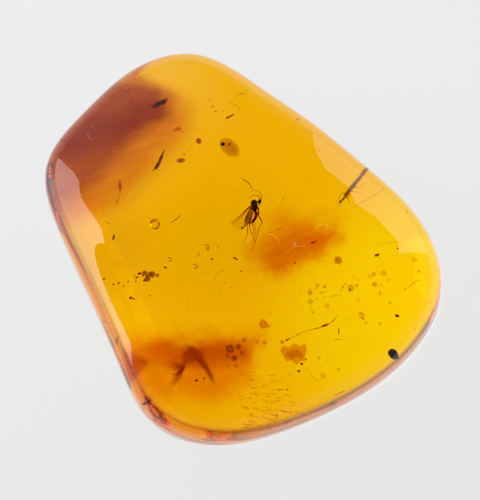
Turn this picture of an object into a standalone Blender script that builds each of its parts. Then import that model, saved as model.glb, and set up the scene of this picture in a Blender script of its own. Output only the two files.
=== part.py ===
"""Insect in amber: a polished freeform pebble of clear Baltic amber with a fungus gnat sealed in it.

Metres, +Z up. The origin is at the middle of the stone's box, on the flat polished underside that the
stone rests on. X runs across the stone and Y along it. Shapes are drawn in millimetres and scaled once.

The clear stone is parted into an upper and a lower half at the level of what is sealed in it. Each
sealed piece lies in a pocket that opens into the narrow gap between the halves.
"""

import math

import bmesh
import bpy
import numpy as np
from mathutils import Matrix, Vector

MM = 0.001
TO_BOX_MIDDLE = (0.002, -0.072, 0.0)  # from the drawing's origin to the middle of the stone's box

# The stone
STONE_HEIGHT = 9.0
WIDEST_LEVEL = 3.2
CROWN_FULLNESS = 4.2  # exponent of the crown's curve inwards from the rim: 2 is a dome, more is flatter
RIM_TIGHTNESS = 4.0  # exponent of its curve upwards: 2 is an ellipse, more turns over closer to the rim
CROWN_TAPER = 0.05  # the crown is this much lower at the right end than at the middle
STONE_HALF_WIDTH = 15.5
STONE_CENTRE = (-0.57, -0.34)
UNDERSIDE_INSET = 5.0  # how far the flat underside stays in from the widest outline
UNDERSIDE_SHIFT = (1.2, 0.6)  # the underside sits off centre: the left and near sides are more undercut
STONE_OUTLINE = [
    (15.72, -3.3), (14.05, 2.16), (10.15, 6.18), (5.9, 9.8), (1.5, 12.97), (-4.2, 15.85),
    (-8.65, 14.65), (-12.7, 11.06), (-15.8, 6.38), (-14.54, 0.9), (-12.14, -4.3), (-9.9, -9.35),
    (-7.13, -14.05), (-2.2, -15.75), (3.15, -14.66), (8.1, -12.44), (12.8, -8.98),
]
OUTLINE_SIDES = 56
CROWN_RINGS = 8
RING_CROWDING = 1.5  # above 1, the crown's rings lie closer together near the rim
UNDERSIDE_RINGS = 5

# The parting of the stone
PARTING_LEVEL = 4.4
HALF_GAP = 0.15  # each half stops this far from the parting level
POCKET_GAP = 0.36  # clear space between a sealed piece and its pocket
POCKET_REACH = 0.3  # every pocket reaches at least this far past the parting level
POCKET_SIDES = 12
POCKET_SQUARENESS = 4  # exponent of a pocket's plan: 2 is an ellipse, more is nearer a rectangle
POCKET_END_SHARE = 0.7

FLAT_FACE = 0.9999  # a face whose normal is this upright is level

# The gnat, in millimetres from the middle of its thorax: X to its belly side, Y towards its head
GNAT_PLACE = (0.87, 3.01, 4.45)
GNAT_WING_THICKNESS = 0.05
GNAT_WING = [
    (-0.14, 0.06), (-0.52, -0.18), (-0.83, -0.47), (-1.34, -0.98), (-1.74, -1.24), (-1.91, -1.36),
    (-1.84, -1.58), (-1.62, -1.80), (-1.34, -1.96), (-0.95, -1.78), (-0.55, -1.15), (-0.22, -0.35),
    (-0.06, -0.10),
]
WING_TILT = 0.16  # how far each wing's tip leans out from the body, in radians
FAR_WING_TURN = 0.22  # the far wing is folded this much closer to the abdomen, in radians

# The slim insect
SLIM_LEVEL = 4.5


# ---- shapes ----

def smooth_outline(points, count, fine=24):
    """Evenly spaced points on the closed cubic curve through the given ones."""
    knots = np.array(points, dtype=float)
    following = np.roll(knots, -1, axis=0)
    spans = np.linalg.norm(following - knots, axis=1)
    total = len(knots)
    equations = np.zeros((total, total))
    for i in range(total):
        equations[i, i - 1] = spans[i - 1]
        equations[i, i] = 2 * (spans[i - 1] + spans[i])
        equations[i, (i + 1) % total] = spans[i]
    slopes = (following - knots) / spans[:, None]
    bends = np.linalg.solve(equations, 6 * (slopes - np.roll(slopes, 1, axis=0)))
    t = np.linspace(0, 1, fine, endpoint=False)[None, :, None]
    span = spans[:, None, None]
    start_bend = bends[:, None, :]
    end_bend = np.roll(bends, -1, axis=0)[:, None, :]
    straight = (1 - t) * knots[:, None, :] + t * following[:, None, :]
    bowed = ((1 - t) ** 3 - (1 - t)) * start_bend + (t ** 3 - t) * end_bend
    curve = (straight + span ** 2 / 6 * bowed).reshape(-1, 2)
    closed = np.vstack([curve, curve[:1]])
    run = np.concatenate([[0], np.cumsum(np.linalg.norm(np.diff(closed, axis=0), axis=1))])
    marks = np.linspace(0, run[-1], count, endpoint=False)
    return np.column_stack([np.interp(marks, run, closed[:, axis]) for axis in (0, 1)])


def skin_rings(bm, rings):
    """Closes a body over rings of points, from the first to the last, with a flat cap at each end."""
    loops = [[bm.verts.new(point) for point in ring] for ring in rings]
    for lower, upper in zip(loops, loops[1:]):
        for i in range(len(lower)):
            j = (i + 1) % len(lower)
            bm.faces.new((lower[i], lower[j], upper[j], upper[i]))
    bm.faces.new(list(reversed(loops[0])))
    bm.faces.new(loops[-1])


def add_tube(bm, path, radii, sides=5):
    """A tube along a path, with its own radius at each point and flat ends."""
    points = [Vector(point) for point in path]
    side = None
    rings = []
    for i, point in enumerate(points):
        along = (points[min(i + 1, len(points) - 1)] - points[max(i - 1, 0)]).normalized()
        if side is None:
            side = along.cross(Vector((0, 0, 1)))
            if side.length < 0.1:
                side = along.cross(Vector((1, 0, 0)))
        side = (side - along * side.dot(along)).normalized()
        up = along.cross(side)
        ring = []
        for k in range(sides):
            turn = 2 * math.pi * k / sides
            ring.append(point + radii[i] * (math.cos(turn) * side + math.sin(turn) * up))
        rings.append(ring)
    skin_rings(bm, rings)


def add_ball(bm, centre, radii, turn=0.0, around=12, along=8):
    """An egg-shaped body, turned about Z by an angle in degrees."""
    place = Matrix.Translation(centre) @ Matrix.Rotation(math.radians(turn), 4, "Z")
    size = Matrix.Diagonal((*radii, 1))
    bmesh.ops.create_uvsphere(bm, u_segments=around, v_segments=along, radius=1, matrix=place @ size)


def add_flake(bm, outline, level, thickness):
    """A chip with a thin edge along the outline and a thicker middle, above and below."""
    middle = Vector((*np.mean(np.array(outline), axis=0), level))
    edge = [Vector((x, y, level)) for x, y in outline]
    face_share = 0.55
    rings = []
    for share, height in ((face_share, -0.5), (1.0, -0.15), (1.0, 0.15), (face_share, 0.5)):
        rings.append([middle + (p - middle) * share + Vector((0, 0, height * thickness)) for p in edge])
    skin_rings(bm, rings)


def add_wing(bm, outline, thickness, turn, tilt, level):
    """A flat wing hinged at its first point: turned in its own plane, then tilted out of it."""
    hinge = Vector((outline[0][0], outline[0][1], 0))
    swing = Matrix.Rotation(turn, 4, "Z") @ Matrix.Rotation(tilt, 4, Vector((1, 1.4, 0)).normalized())
    rings = []
    for height in (-0.5 * thickness, 0.5 * thickness):
        ring = []
        for x, y in outline:
            ring.append(hinge + swing @ (Vector((x, y, height)) - hinge) + Vector((0, 0, level)))
        rings.append(ring)
    skin_rings(bm, rings)


def moved(path, place):
    """A path's points, shifted by a place."""
    return [tuple(a + b for a, b in zip(point, place)) for point in path]


def finish(name, bm, material, smooth=True):
    """Turns drawn millimetres into a named object in metres."""
    bmesh.ops.recalc_face_normals(bm, faces=bm.faces)
    bmesh.ops.translate(bm, vec=TO_BOX_MIDDLE, verts=bm.verts)
    bmesh.ops.scale(bm, vec=(MM, MM, MM), verts=bm.verts)
    mesh = bpy.data.meshes.new(name)
    bm.to_mesh(mesh)
    bm.free()
    if smooth:
        mesh.shade_smooth()
        mesh.set_sharp_from_angle(angle=math.radians(50))
    mesh.materials.append(material)
    piece = bpy.data.objects.new(name, mesh)
    bpy.context.scene.collection.objects.link(piece)
    return piece


def as_guide(piece):
    """Marks an object that only cuts or joins."""
    piece.hide_render = True
    piece.display_type = "WIRE"
    return piece


def combine(piece, other, operation):
    """Adds or cuts away another object."""
    step = piece.modifiers.new(operation.title(), "BOOLEAN")
    step.operation = operation
    step.solver = "EXACT"
    step.use_self = True
    step.object = other


def grown_together(name, base, others, material):
    """One body: a base shape with other shapes grown into it."""
    piece = finish(name, base, material)
    combine(piece, as_guide(finish(name + "_joint", others, material)), "UNION")
    return piece


def surface(name, colour, roughness, clear=False):
    """A plain Principled material, with linear colour values."""
    material = bpy.data.materials.new(name)
    material.use_nodes = True
    shader = material.node_tree.nodes["Principled BSDF"]
    shader.inputs["Base Color"].default_value = (*colour, 1)
    shader.inputs["Roughness"].default_value = roughness
    if clear:
        shader.inputs["Transmission Weight"].default_value = 1.0
        shader.inputs["IOR"].default_value = 1.54
    return material


# ---- the stone ----

def crown_ring(outline, share, rise):
    """One ring of the crown, at a share of the outline and of the crown's height."""
    centre = np.array(STONE_CENTRE)
    ring = []
    for x, y in centre + (outline - centre) * share:
        height = rise * (STONE_HEIGHT - WIDEST_LEVEL) * (1 - CROWN_TAPER * x / STONE_HALF_WIDTH)
        ring.append((x, y, WIDEST_LEVEL + height))
    return ring


def underside_ring(outline, share, level):
    """One ring below the widest level, drawn over towards the underside's own centre."""
    centre = np.array(STONE_CENTRE)
    shift = np.array(UNDERSIDE_SHIFT) * (1 - level / WIDEST_LEVEL)
    return [(x, y, level) for x, y in centre + shift + (outline - centre) * share]


def stone_rings():
    """The stone's whole surface as rings, from the edge of its flat underside to near the top."""
    outline = smooth_outline(STONE_OUTLINE, OUTLINE_SIDES)
    inset = UNDERSIDE_INSET / STONE_HALF_WIDTH
    rings = []
    for k in range(UNDERSIDE_RINGS):
        turn = math.pi / 2 * k / UNDERSIDE_RINGS
        share = 1 - inset * (1 - math.sin(turn))
        rings.append(underside_ring(outline, share, WIDEST_LEVEL * (1 - math.cos(turn))))
    for k in range(CROWN_RINGS):
        turn = math.pi / 2 * (k / CROWN_RINGS) ** RING_CROWDING
        share = math.cos(turn) ** (2 / CROWN_FULLNESS)
        rings.append(crown_ring(outline, share, math.sin(turn) ** (2 / RIM_TIGHTNESS)))
    return rings


def make_stone_half(name, keep_upper, pockets, material):
    """One half of the stone, cut flat at the parting level and hollowed by the pockets."""
    bm = bmesh.new()
    skin_rings(bm, stone_rings())
    bm.faces.ensure_lookup_table()
    cap = bm.faces[-1]
    tip = bmesh.ops.poke(bm, faces=[cap])["verts"][0]
    tip.co = Vector((*STONE_CENTRE, STONE_HEIGHT))
    bmesh.ops.triangulate(bm, faces=bm.faces)
    side = 1 if keep_upper else -1
    cut = bmesh.ops.bisect_plane(
        bm,
        geom=bm.verts[:] + bm.edges[:] + bm.faces[:],
        plane_co=(0, 0, PARTING_LEVEL + side * HALF_GAP),
        plane_no=(0, 0, side),
        clear_inner=True,
    )
    rim = [item for item in cut["geom_cut"] if isinstance(item, bmesh.types.BMEdge)]
    bmesh.ops.contextual_create(bm, geom=rim)
    half = finish(name, bm, material)
    for face in half.data.polygons:
        face.use_smooth = abs(face.normal.z) < FLAT_FACE
    combine(half, pockets, "DIFFERENCE")
    return half


def add_pocket(bm, points, heading):
    """A rounded box around a sealed piece, long along a heading in degrees."""
    turn = Matrix.Rotation(math.radians(-heading), 3, "Z")
    spots = np.array([turn @ point for point in points])
    low = spots.min(axis=0)
    high = spots.max(axis=0)
    middle = (low + high) / 2
    half = (high - low) / 2
    spread = (np.abs(spots - middle)[:, :2] / half[:2]) ** POCKET_SQUARENESS
    swell = spread.sum(axis=1).max() ** (1 / POCKET_SQUARENESS)
    half = half * swell + POCKET_GAP
    floor = min(low[2], PARTING_LEVEL - POCKET_REACH)
    roof = max(high[2], PARTING_LEVEL + POCKET_REACH)
    back = turn.transposed()
    rings = []
    for share, level in (
        (POCKET_END_SHARE, floor - POCKET_GAP),
        (1.0, floor),
        (1.0, roof),
        (POCKET_END_SHARE, roof + POCKET_GAP),
    ):
        ring = []
        for k in range(POCKET_SIDES):
            angle = 2 * math.pi * (k + 0.5) / POCKET_SIDES
            across = math.copysign(abs(math.cos(angle)) ** (2 / POCKET_SQUARENESS), math.cos(angle))
            along = math.copysign(abs(math.sin(angle)) ** (2 / POCKET_SQUARENESS), math.sin(angle))
            spot = Vector((middle[0] + half[0] * across * share, middle[1] + half[1] * along * share, level))
            ring.append(back @ spot)
        rings.append(ring)
    skin_rings(bm, rings)


# ---- the gnat ----

def add_gnat_body(bm):
    """Head with its eyes and mouth, the hump, and the long abdomen with its clasper."""
    add_ball(bm, moved([(-0.05, 0.16, 0)], GNAT_PLACE)[0], (0.24, 0.28, 0.24), 30, 12, 8)
    add_ball(bm, moved([(0.41, 0.34, 0)], GNAT_PLACE)[0], (0.14, 0.18, 0.15), -18, 12, 8)
    for side in (-1, 1):
        add_ball(bm, moved([(0.42, 0.37, side * 0.10)], GNAT_PLACE)[0], (0.10, 0.12, 0.08), -18, 8, 6)
    add_tube(bm, moved([(0.10, 0.24, 0), (0.24, 0.28, 0), (0.40, 0.32, 0)], GNAT_PLACE), [0.08, 0.06, 0.08])
    add_tube(bm, moved([(0.40, 0.24, 0), (0.35, 0.13, 0), (0.30, 0.04, 0)], GNAT_PLACE), [0.07, 0.05, 0.02])
    spine = [
        (-0.10, -0.28, 0), (-0.24, -0.46, 0), (-0.35, -0.68, 0), (-0.44, -0.98, 0), (-0.55, -1.24, 0),
        (-0.64, -1.44, 0), (-0.71, -1.58, 0), (-0.78, -1.67, 0), (-0.88, -1.76, 0), (-0.98, -1.85, 0),
        (-1.06, -1.93, 0),
    ]
    girth = [0.14, 0.20, 0.23, 0.27, 0.24, 0.17, 0.10, 0.055, 0.06, 0.10, 0.06]
    add_tube(bm, moved(spine, GNAT_PLACE), girth, 10)


def add_gnat_limbs(bm):
    """Six jointed legs and two arched antennae."""
    front = [
        (0.10, 0.02, -0.10), (0.32, -0.40, -0.20), (0.34, -0.79, -0.24), (0.47, -1.04, -0.24),
        (0.60, -1.35, -0.22), (0.45, -1.56, -0.20), (0.32, -1.92, -0.18), (0.22, -2.33, -0.16),
        (0.14, -2.67, -0.15), (0.02, -3.06, -0.14), (-0.06, -3.32, -0.14), (-0.17, -3.73, -0.14),
    ]
    front_radii = [0.09, 0.08, 0.05, 0.05, 0.05, 0.04, 0.035, 0.05, 0.03, 0.03, 0.03, 0.02]
    add_tube(bm, moved(front, GNAT_PLACE), front_radii)
    tucked = [
        (0.10, 0.02, 0.12), (0.30, -0.26, 0.22), (0.31, -0.56, 0.26), (0.24, -0.80, 0.26),
        (0.08, -0.98, 0.28), (-0.02, -1.30, 0.30), (0.06, -1.72, 0.28), (0.10, -2.12, 0.26),
    ]
    add_tube(bm, moved(tucked, GNAT_PLACE), [0.09, 0.07, 0.05, 0.05, 0.045, 0.035, 0.03, 0.02])
    middle_near = [
        (0.02, -0.20, 0.12), (0.20, -0.80, 0.24), (0.10, -1.12, 0.28), (-0.20, -1.36, 0.32),
        (-0.57, -1.60, 0.34), (-0.55, -2.00, 0.32), (-0.55, -2.22, 0.31), (-0.60, -2.54, 0.30),
        (-0.78, -2.85, 0.28), (-1.03, -3.11, 0.26),
    ]
    middle_near_radii = [0.09, 0.07, 0.08, 0.08, 0.045, 0.035, 0.05, 0.035, 0.03, 0.02]
    add_tube(bm, moved(middle_near, GNAT_PLACE), middle_near_radii)
    middle_far = [
        (0.02, -0.20, -0.12), (0.16, -0.86, -0.22), (0.02, -1.16, -0.28), (-0.17, -1.42, -0.32),
        (-0.06, -1.82, -0.31), (0.02, -2.28, -0.30), (0.03, -2.64, -0.29), (-0.04, -2.95, -0.28),
    ]
    add_tube(bm, moved(middle_far, GNAT_PLACE), [0.09, 0.07, 0.08, 0.06, 0.035, 0.035, 0.03, 0.02])
    hind = [
        (-0.02, -0.26, 0.02), (0.12, -0.94, 0.04), (-0.06, -1.24, 0.03), (-0.40, -1.62, 0.02),
        (-0.30, -2.03, 0.01), (-0.17, -2.37, 0.0), (-0.06, -2.59, 0.0), (-0.14, -2.88, 0.0),
        (-0.32, -3.22, 0.0),
    ]
    add_tube(bm, moved(hind, GNAT_PLACE), [0.09, 0.08, 0.09, 0.05, 0.035, 0.04, 0.035, 0.03, 0.02])
    near_antenna = [
        (0.45, 0.46, 0.06), (0.41, 0.62, 0.08), (0.30, 0.75, 0.10), (0.05, 0.83, 0.12), (-0.17, 0.79, 0.14),
        (-0.32, 0.67, 0.15), (-0.47, 0.49, 0.15), (-0.56, 0.36, 0.15),
    ]
    far_antenna = [
        (0.46, 0.46, -0.06), (0.56, 0.62, -0.08), (0.58, 0.77, -0.10), (0.47, 1.01, -0.12),
        (0.30, 1.19, -0.14), (0.06, 1.29, -0.15), (-0.14, 1.24, -0.15), (-0.30, 1.17, -0.15),
    ]
    for antenna in (near_antenna, far_antenna):
        add_tube(bm, moved(antenna, GNAT_PLACE), [0.05, 0.04, 0.04, 0.035, 0.035, 0.035, 0.03, 0.02])


def make_gnat(material):
    """The fungus gnat, its wings, legs and antennae grown into one body."""
    thorax = bmesh.new()
    add_ball(thorax, GNAT_PLACE, (0.25, 0.46, 0.26), 4, 14, 10)
    rest = bmesh.new()
    add_wing(rest, GNAT_WING, GNAT_WING_THICKNESS, 0.0, -WING_TILT, 0.12)
    add_wing(rest, GNAT_WING, GNAT_WING_THICKNESS, FAR_WING_TURN, WING_TILT, -0.12)
    bmesh.ops.translate(rest, vec=GNAT_PLACE, verts=rest.verts)
    add_gnat_body(rest)
    add_gnat_limbs(rest)
    return grown_together("fungus_gnat", thorax, rest, material)


# ---- the slim insect ----

def make_slim_insect(material):
    """A slender insect near the rim: a rod-like body, a thin neck with a small head, and hair-thin legs."""
    body = [
        (9.06, 5.60), (9.07, 5.42), (8.96, 5.07), (8.77, 4.77), (8.54, 4.49), (8.32, 4.19), (8.14, 3.95),
        (7.99, 3.73), (7.87, 3.54), (7.79, 3.43), (7.68, 3.33), (7.60, 3.26), (7.53, 3.18), (7.49, 3.14),
    ]
    girth = [0.07, 0.13, 0.15, 0.15, 0.16, 0.17, 0.15, 0.14, 0.13, 0.06, 0.04, 0.05, 0.08, 0.04]
    legs = [
        [(8.00, 3.74), (7.66, 3.88), (7.46, 3.50), (7.44, 3.26)],
        [(7.85, 3.50), (7.74, 3.18), (7.59, 2.95), (7.31, 2.72)],
        [(8.45, 4.34), (8.84, 4.20), (9.24, 4.48)],
        [(8.22, 4.06), (8.50, 3.90), (8.85, 3.84)],
        [(8.06, 3.82), (8.28, 3.62), (8.21, 3.42)],
        [(7.98, 3.70), (8.20, 3.24), (8.30, 2.84)],
    ]
    rod = bmesh.new()
    add_tube(rod, [(x, y, SLIM_LEVEL) for x, y in body], girth, 8)
    rest = bmesh.new()
    for i, leg in enumerate(legs):
        lean = 0.10 if i % 2 else -0.10
        path = [(x, y, SLIM_LEVEL + lean * min(k, 2)) for k, (x, y) in enumerate(leg)]
        add_tube(rest, path, [0.045] + [0.03] * (len(path) - 2) + [0.02])
    return grown_together("slim_insect", rod, rest, material)


# ---- plant scraps, seeds and pellets ----

def make_bark_flake(material):
    """A dark torn chip with a ragged tail."""
    bm = bmesh.new()
    outline = [
        (-5.86, 11.74), (-6.02, 11.40), (-6.22, 11.10), (-6.42, 11.14), (-6.62, 11.02), (-7.02, 10.84),
        (-7.26, 10.80), (-7.04, 11.02), (-6.78, 11.36), (-6.56, 11.42), (-6.36, 11.54), (-6.14, 11.58),
    ]
    add_flake(bm, outline, 4.5, 0.26)
    return finish("bark_flake", bm, material)


def make_twig_splinter(material):
    """A splinter of twig, knotted in the middle and split at its lower end."""
    main = [
        (-6.23, 7.50, 4.76), (-6.36, 7.18, 4.72), (-6.50, 6.84, 4.67), (-6.62, 6.52, 4.62),
        (-6.80, 6.20, 4.56), (-6.98, 5.98, 4.52), (-7.20, 5.78, 4.48),
    ]
    shaft = bmesh.new()
    add_tube(shaft, main, [0.05, 0.09, 0.14, 0.12, 0.16, 0.10, 0.04], 7)
    fork = bmesh.new()
    add_tube(fork, [(-6.70, 6.36, 4.58), (-6.80, 6.08, 4.50), (-6.86, 5.84, 4.42)], [0.10, 0.09, 0.03], 6)
    return grown_together("twig_splinter", shaft, fork, material)


def make_stem_bit(material):
    """A short piece of stem with one swollen end."""
    bm = bmesh.new()
    path = [
        (-0.84, 10.32, 4.60), (-1.00, 10.25, 4.58), (-1.20, 10.15, 4.56), (-1.38, 10.08, 4.54),
        (-1.48, 10.02, 4.53),
    ]
    add_tube(bm, path, [0.05, 0.09, 0.08, 0.11, 0.05], 7)
    return finish("stem_bit", bm, material)


def make_wood_chip(material):
    """A reddish chip of wood, wide at one end."""
    bm = bmesh.new()
    outline = [
        (-5.70, 8.98), (-5.44, 9.22), (-5.14, 9.42), (-4.98, 9.40), (-4.88, 9.20), (-5.02, 9.08),
        (-5.34, 9.10),
    ]
    add_flake(bm, outline, 4.35, 0.22)
    return finish("wood_chip", bm, material)


def make_frass_pellet(material):
    """An oval dropping."""
    bm = bmesh.new()
    add_ball(bm, (-4.95, 6.69, 4.30), (0.38, 0.22, 0.22), 8)
    return finish("frass_pellet", bm, material)


def make_red_grain(material):
    """A round grain of dark resin with one flat side."""
    bm = bmesh.new()
    add_ball(bm, (-3.56, 8.30, 4.20), (0.24, 0.27, 0.22), 20, 10, 8)
    return finish("red_grain", bm, material)


def make_seed_husk(material):
    """A translucent oval husk with two dark kernels showing at one end."""
    skin = bmesh.new()
    add_ball(skin, (-1.10, 7.72, 4.40), (0.95, 0.58, 0.34), -42, 14, 8)
    kernels = bmesh.new()
    add_ball(kernels, (-1.64, 7.98, 4.58), (0.17, 0.15, 0.15), 0, 8, 6)
    add_ball(kernels, (-1.16, 7.96, 4.66), (0.18, 0.17, 0.14), 0, 8, 6)
    return grown_together("seed_husk", skin, kernels, material)


def make_leaf_scrap(material):
    """A scrap of leaf stalk that narrows to a hooked tail."""
    bm = bmesh.new()
    path = [
        (-9.72, 5.04, 4.60), (-9.70, 4.82, 4.58), (-9.68, 4.54, 4.55), (-9.66, 4.26, 4.52),
        (-9.66, 4.02, 4.50), (-9.70, 3.72, 4.48), (-9.78, 3.50, 4.46), (-9.90, 3.30, 4.44),
        (-9.92, 3.12, 4.42),
    ]
    add_tube(bm, path, [0.05, 0.12, 0.15, 0.11, 0.045, 0.04, 0.07, 0.08, 0.04], 7)
    return finish("leaf_scrap", bm, material)


def make_char_splinter(material):
    """A short black splinter."""
    bm = bmesh.new()
    path = [(-9.95, 0.78, 4.42), (-9.97, 0.64, 4.42), (-9.99, 0.48, 4.41), (-10.00, 0.34, 4.40)]
    add_tube(bm, path, [0.07, 0.11, 0.10, 0.05], 6)
    return finish("char_splinter", bm, material)


def make_dark_seed(material):
    """A plump dark seed with a short beak."""
    kernel = bmesh.new()
    add_ball(kernel, (11.17, -8.10, 4.30), (0.36, 0.27, 0.25), 25)
    beak = bmesh.new()
    add_tube(beak, [(11.30, -8.16, 4.30), (11.52, -8.30, 4.30), (11.60, -8.42, 4.30)], [0.12, 0.07, 0.03], 6)
    return grown_together("dark_seed", kernel, beak, material)


def make_dark_crumb(material):
    """A small dark crumb, longer than it is wide."""
    bm = bmesh.new()
    add_ball(bm, (10.38, -1.01, 4.50), (0.22, 0.12, 0.12), 18, 10, 8)
    return finish("dark_crumb", bm, material)


def make_rootlet(material):
    """A long fine rootlet with a blunt dark end and a knot along it."""
    bm = bmesh.new()
    path = [
        (3.26, -7.76), (3.46, -7.64), (4.03, -7.36), (4.89, -6.97), (5.65, -6.77), (6.12, -6.61),
        (6.33, -6.51), (6.56, -6.43), (6.94, -6.17), (7.20, -5.86), (7.46, -5.72),
    ]
    radii = [0.05, 0.07, 0.035, 0.035, 0.04, 0.09, 0.10, 0.05, 0.035, 0.06, 0.03]
    add_tube(bm, [(x, y, 4.45) for x, y in path], radii)
    return finish("rootlet", bm, material)


def make_frass_cluster(material):
    """Four crumbs stuck together."""
    first = bmesh.new()
    add_ball(first, (-7.10, -2.50, 4.46), (0.30, 0.27, 0.24), 0, 10, 8)
    others = bmesh.new()
    pellets = [((-7.60, -2.38, 4.42), 0.26), ((-7.40, -2.86, 4.36), 0.28), ((-6.66, -2.60, 4.42), 0.20)]
    for centre, radius in pellets:
        add_ball(others, centre, (radius, radius * 0.9, radius * 0.8), 0, 8, 6)
    return grown_together("frass_cluster", first, others, material)


def make_curled_scrap(material):
    """A curled red-brown scrap of plant skin."""
    bm = bmesh.new()
    path = [
        (-4.50, -9.54, 4.46), (-4.56, -9.82, 4.44), (-4.76, -10.12, 4.42), (-5.06, -10.26, 4.40),
        (-5.42, -10.24, 4.38),
    ]
    add_tube(bm, path, [0.05, 0.12, 0.15, 0.11, 0.04], 7)
    return finish("curled_scrap", bm, material)


def make_rust_flake(material):
    """A thin rust-coloured flake with a notched edge."""
    bm = bmesh.new()
    outline = [
        (3.08, -8.94), (3.26, -8.54), (3.72, -8.36), (4.24, -8.32), (4.58, -8.58), (4.54, -9.12),
        (4.26, -8.92), (3.96, -8.98), (3.74, -9.14), (3.40, -8.98),
    ]
    add_flake(bm, outline, 4.25, 0.18)
    return finish("rust_flake", bm, material)


# ---- assembly ----

def drawn_points(piece):
    """The corners of a piece and of what is grown into it, as they were drawn."""
    parts = [piece] + [step.object for step in piece.modifiers]
    return [vertex.co / MM - Vector(TO_BOX_MIDDLE) for part in parts for vertex in part.data.vertices]


def main():
    for leftover in list(bpy.data.objects):
        bpy.data.objects.remove(leftover)
    amber = surface("clear_amber", (1.0, 0.68, 0.02), 0.03, clear=True)
    black_brown = surface("dark_chitin", (0.030, 0.012, 0.006), 0.45)
    slate_brown = surface("grey_chitin", (0.070, 0.045, 0.035), 0.45)
    bark = surface("bark", (0.035, 0.028, 0.018), 0.8)
    wood = surface("red_wood", (0.20, 0.045, 0.020), 0.75)
    pellet = surface("frass", (0.24, 0.095, 0.020), 0.8)
    husk = surface("husk_skin", (0.42, 0.20, 0.06), 0.5)
    rust = surface("rust_skin", (0.45, 0.15, 0.02), 0.6)
    sealed = [
        (make_gnat(black_brown), 70),
        (make_slim_insect(slate_brown), 54),
        (make_bark_flake(bark), 34),
        (make_twig_splinter(bark), 60),
        (make_stem_bit(bark), 25),
        (make_wood_chip(wood), 27),
        (make_frass_pellet(pellet), 8),
        (make_red_grain(wood), 0),
        (make_seed_husk(husk), -42),
        (make_leaf_scrap(wood), 84),
        (make_char_splinter(bark), 84),
        (make_dark_seed(bark), 0),
        (make_dark_crumb(bark), 18),
        (make_rootlet(bark), 26),
        (make_frass_cluster(pellet), -8),
        (make_curled_scrap(wood), 40),
        (make_rust_flake(rust), 5),
    ]
    bm = bmesh.new()
    for piece, heading in sealed:
        add_pocket(bm, drawn_points(piece), heading)
    pockets = as_guide(finish("pockets", bm, amber, smooth=False))
    make_stone_half("amber_top", True, pockets, amber)
    make_stone_half("amber_base", False, pockets, amber)


main()
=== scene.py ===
import math
import random
import bpy
import numpy as np
from mathutils import Matrix, Vector, noise


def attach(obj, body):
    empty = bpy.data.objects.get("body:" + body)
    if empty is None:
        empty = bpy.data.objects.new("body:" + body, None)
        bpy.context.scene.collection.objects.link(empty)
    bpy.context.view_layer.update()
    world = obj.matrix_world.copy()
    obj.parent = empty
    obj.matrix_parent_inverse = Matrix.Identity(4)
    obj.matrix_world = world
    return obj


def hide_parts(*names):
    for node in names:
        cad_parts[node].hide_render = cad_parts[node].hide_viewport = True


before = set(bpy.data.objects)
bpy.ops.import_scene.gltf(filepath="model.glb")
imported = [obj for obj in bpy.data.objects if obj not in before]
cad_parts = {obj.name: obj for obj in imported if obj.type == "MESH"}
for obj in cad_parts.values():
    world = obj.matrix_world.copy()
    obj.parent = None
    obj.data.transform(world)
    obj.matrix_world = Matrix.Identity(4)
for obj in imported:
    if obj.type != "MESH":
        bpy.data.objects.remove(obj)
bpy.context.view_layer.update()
mm = 0.001
# the sealed things were measured from a point this far off the box's middle, in millimetres
toBoxMiddle = Vector((0.002, -0.072, 0.0))
amberIor = 1.54
print("frame loaded")


# small helpers

def hexColour(value):
    parts = [int(value[i:i + 2], 16) / 255 for i in (1, 3, 5)]
    return tuple(c / 12.92 if c <= 0.04045 else ((c + 0.055) / 1.055) ** 2.4 for c in parts) + (1.0,)


def addNode(tree, kind, values=None, links=None, **settings):
    made = tree.nodes.new("ShaderNode" + kind)
    for key, value in settings.items():
        setattr(made, key, value)
    for key, value in (values or {}).items():
        made.inputs[key].default_value = value
    for key, source in (links or {}).items():
        tree.links.new(source, made.inputs[key])
    return made


def combine(tree, first, second, operation):
    return addNode(tree, "Math", None, {0: first, 1: second}, operation=operation).outputs[0]


def newMaterial(name, **values):
    finish = bpy.data.materials.new(name)
    finish.use_nodes = True
    tree = finish.node_tree
    shader = tree.nodes["Principled BSDF"]
    for key, value in values.items():
        shader.inputs[key.replace("_", " ")].default_value = value
    return finish, tree, shader


def deselect():
    if bpy.context.object and bpy.context.object.mode != "OBJECT":
        bpy.ops.object.mode_set(mode="OBJECT")
    bpy.ops.object.select_all(action="DESELECT")


def pick(piece):
    deselect()
    piece.select_set(True)
    bpy.context.view_layer.objects.active = piece


def applyAll(piece):
    pick(piece)
    for step in list(piece.modifiers):
        bpy.ops.object.modifier_apply(modifier=step.name)


def joined(name, parts):
    deselect()
    for part in parts:
        part.select_set(True)
    bpy.context.view_layer.objects.active = parts[0]
    if len(parts) > 1:
        bpy.ops.object.join()
    piece = bpy.context.object
    piece.name = name
    piece.data.name = name
    return piece


def editAll():
    bpy.ops.object.mode_set(mode="EDIT")
    bpy.ops.mesh.select_all(action="SELECT")


def flipFaces(piece):
    # a hollow's faces look into it
    pick(piece)
    editAll()
    bpy.ops.mesh.flip_normals()
    bpy.ops.object.mode_set(mode="OBJECT")


def seat(piece, slotName, *nodes):
    # finished pieces sit at the origin and move with the stone
    pick(piece)
    bpy.ops.object.transform_apply(location=True, rotation=True, scale=True)
    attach(piece, "root")
    if nodes:
        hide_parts(*nodes)
    return piece


def paint(piece, finish):
    piece.data.materials.clear()
    piece.data.materials.append(finish)
    return piece


def spot(x, y, z):
    return (Vector((x, y, z)) + toBoxMiddle) * mm


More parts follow.
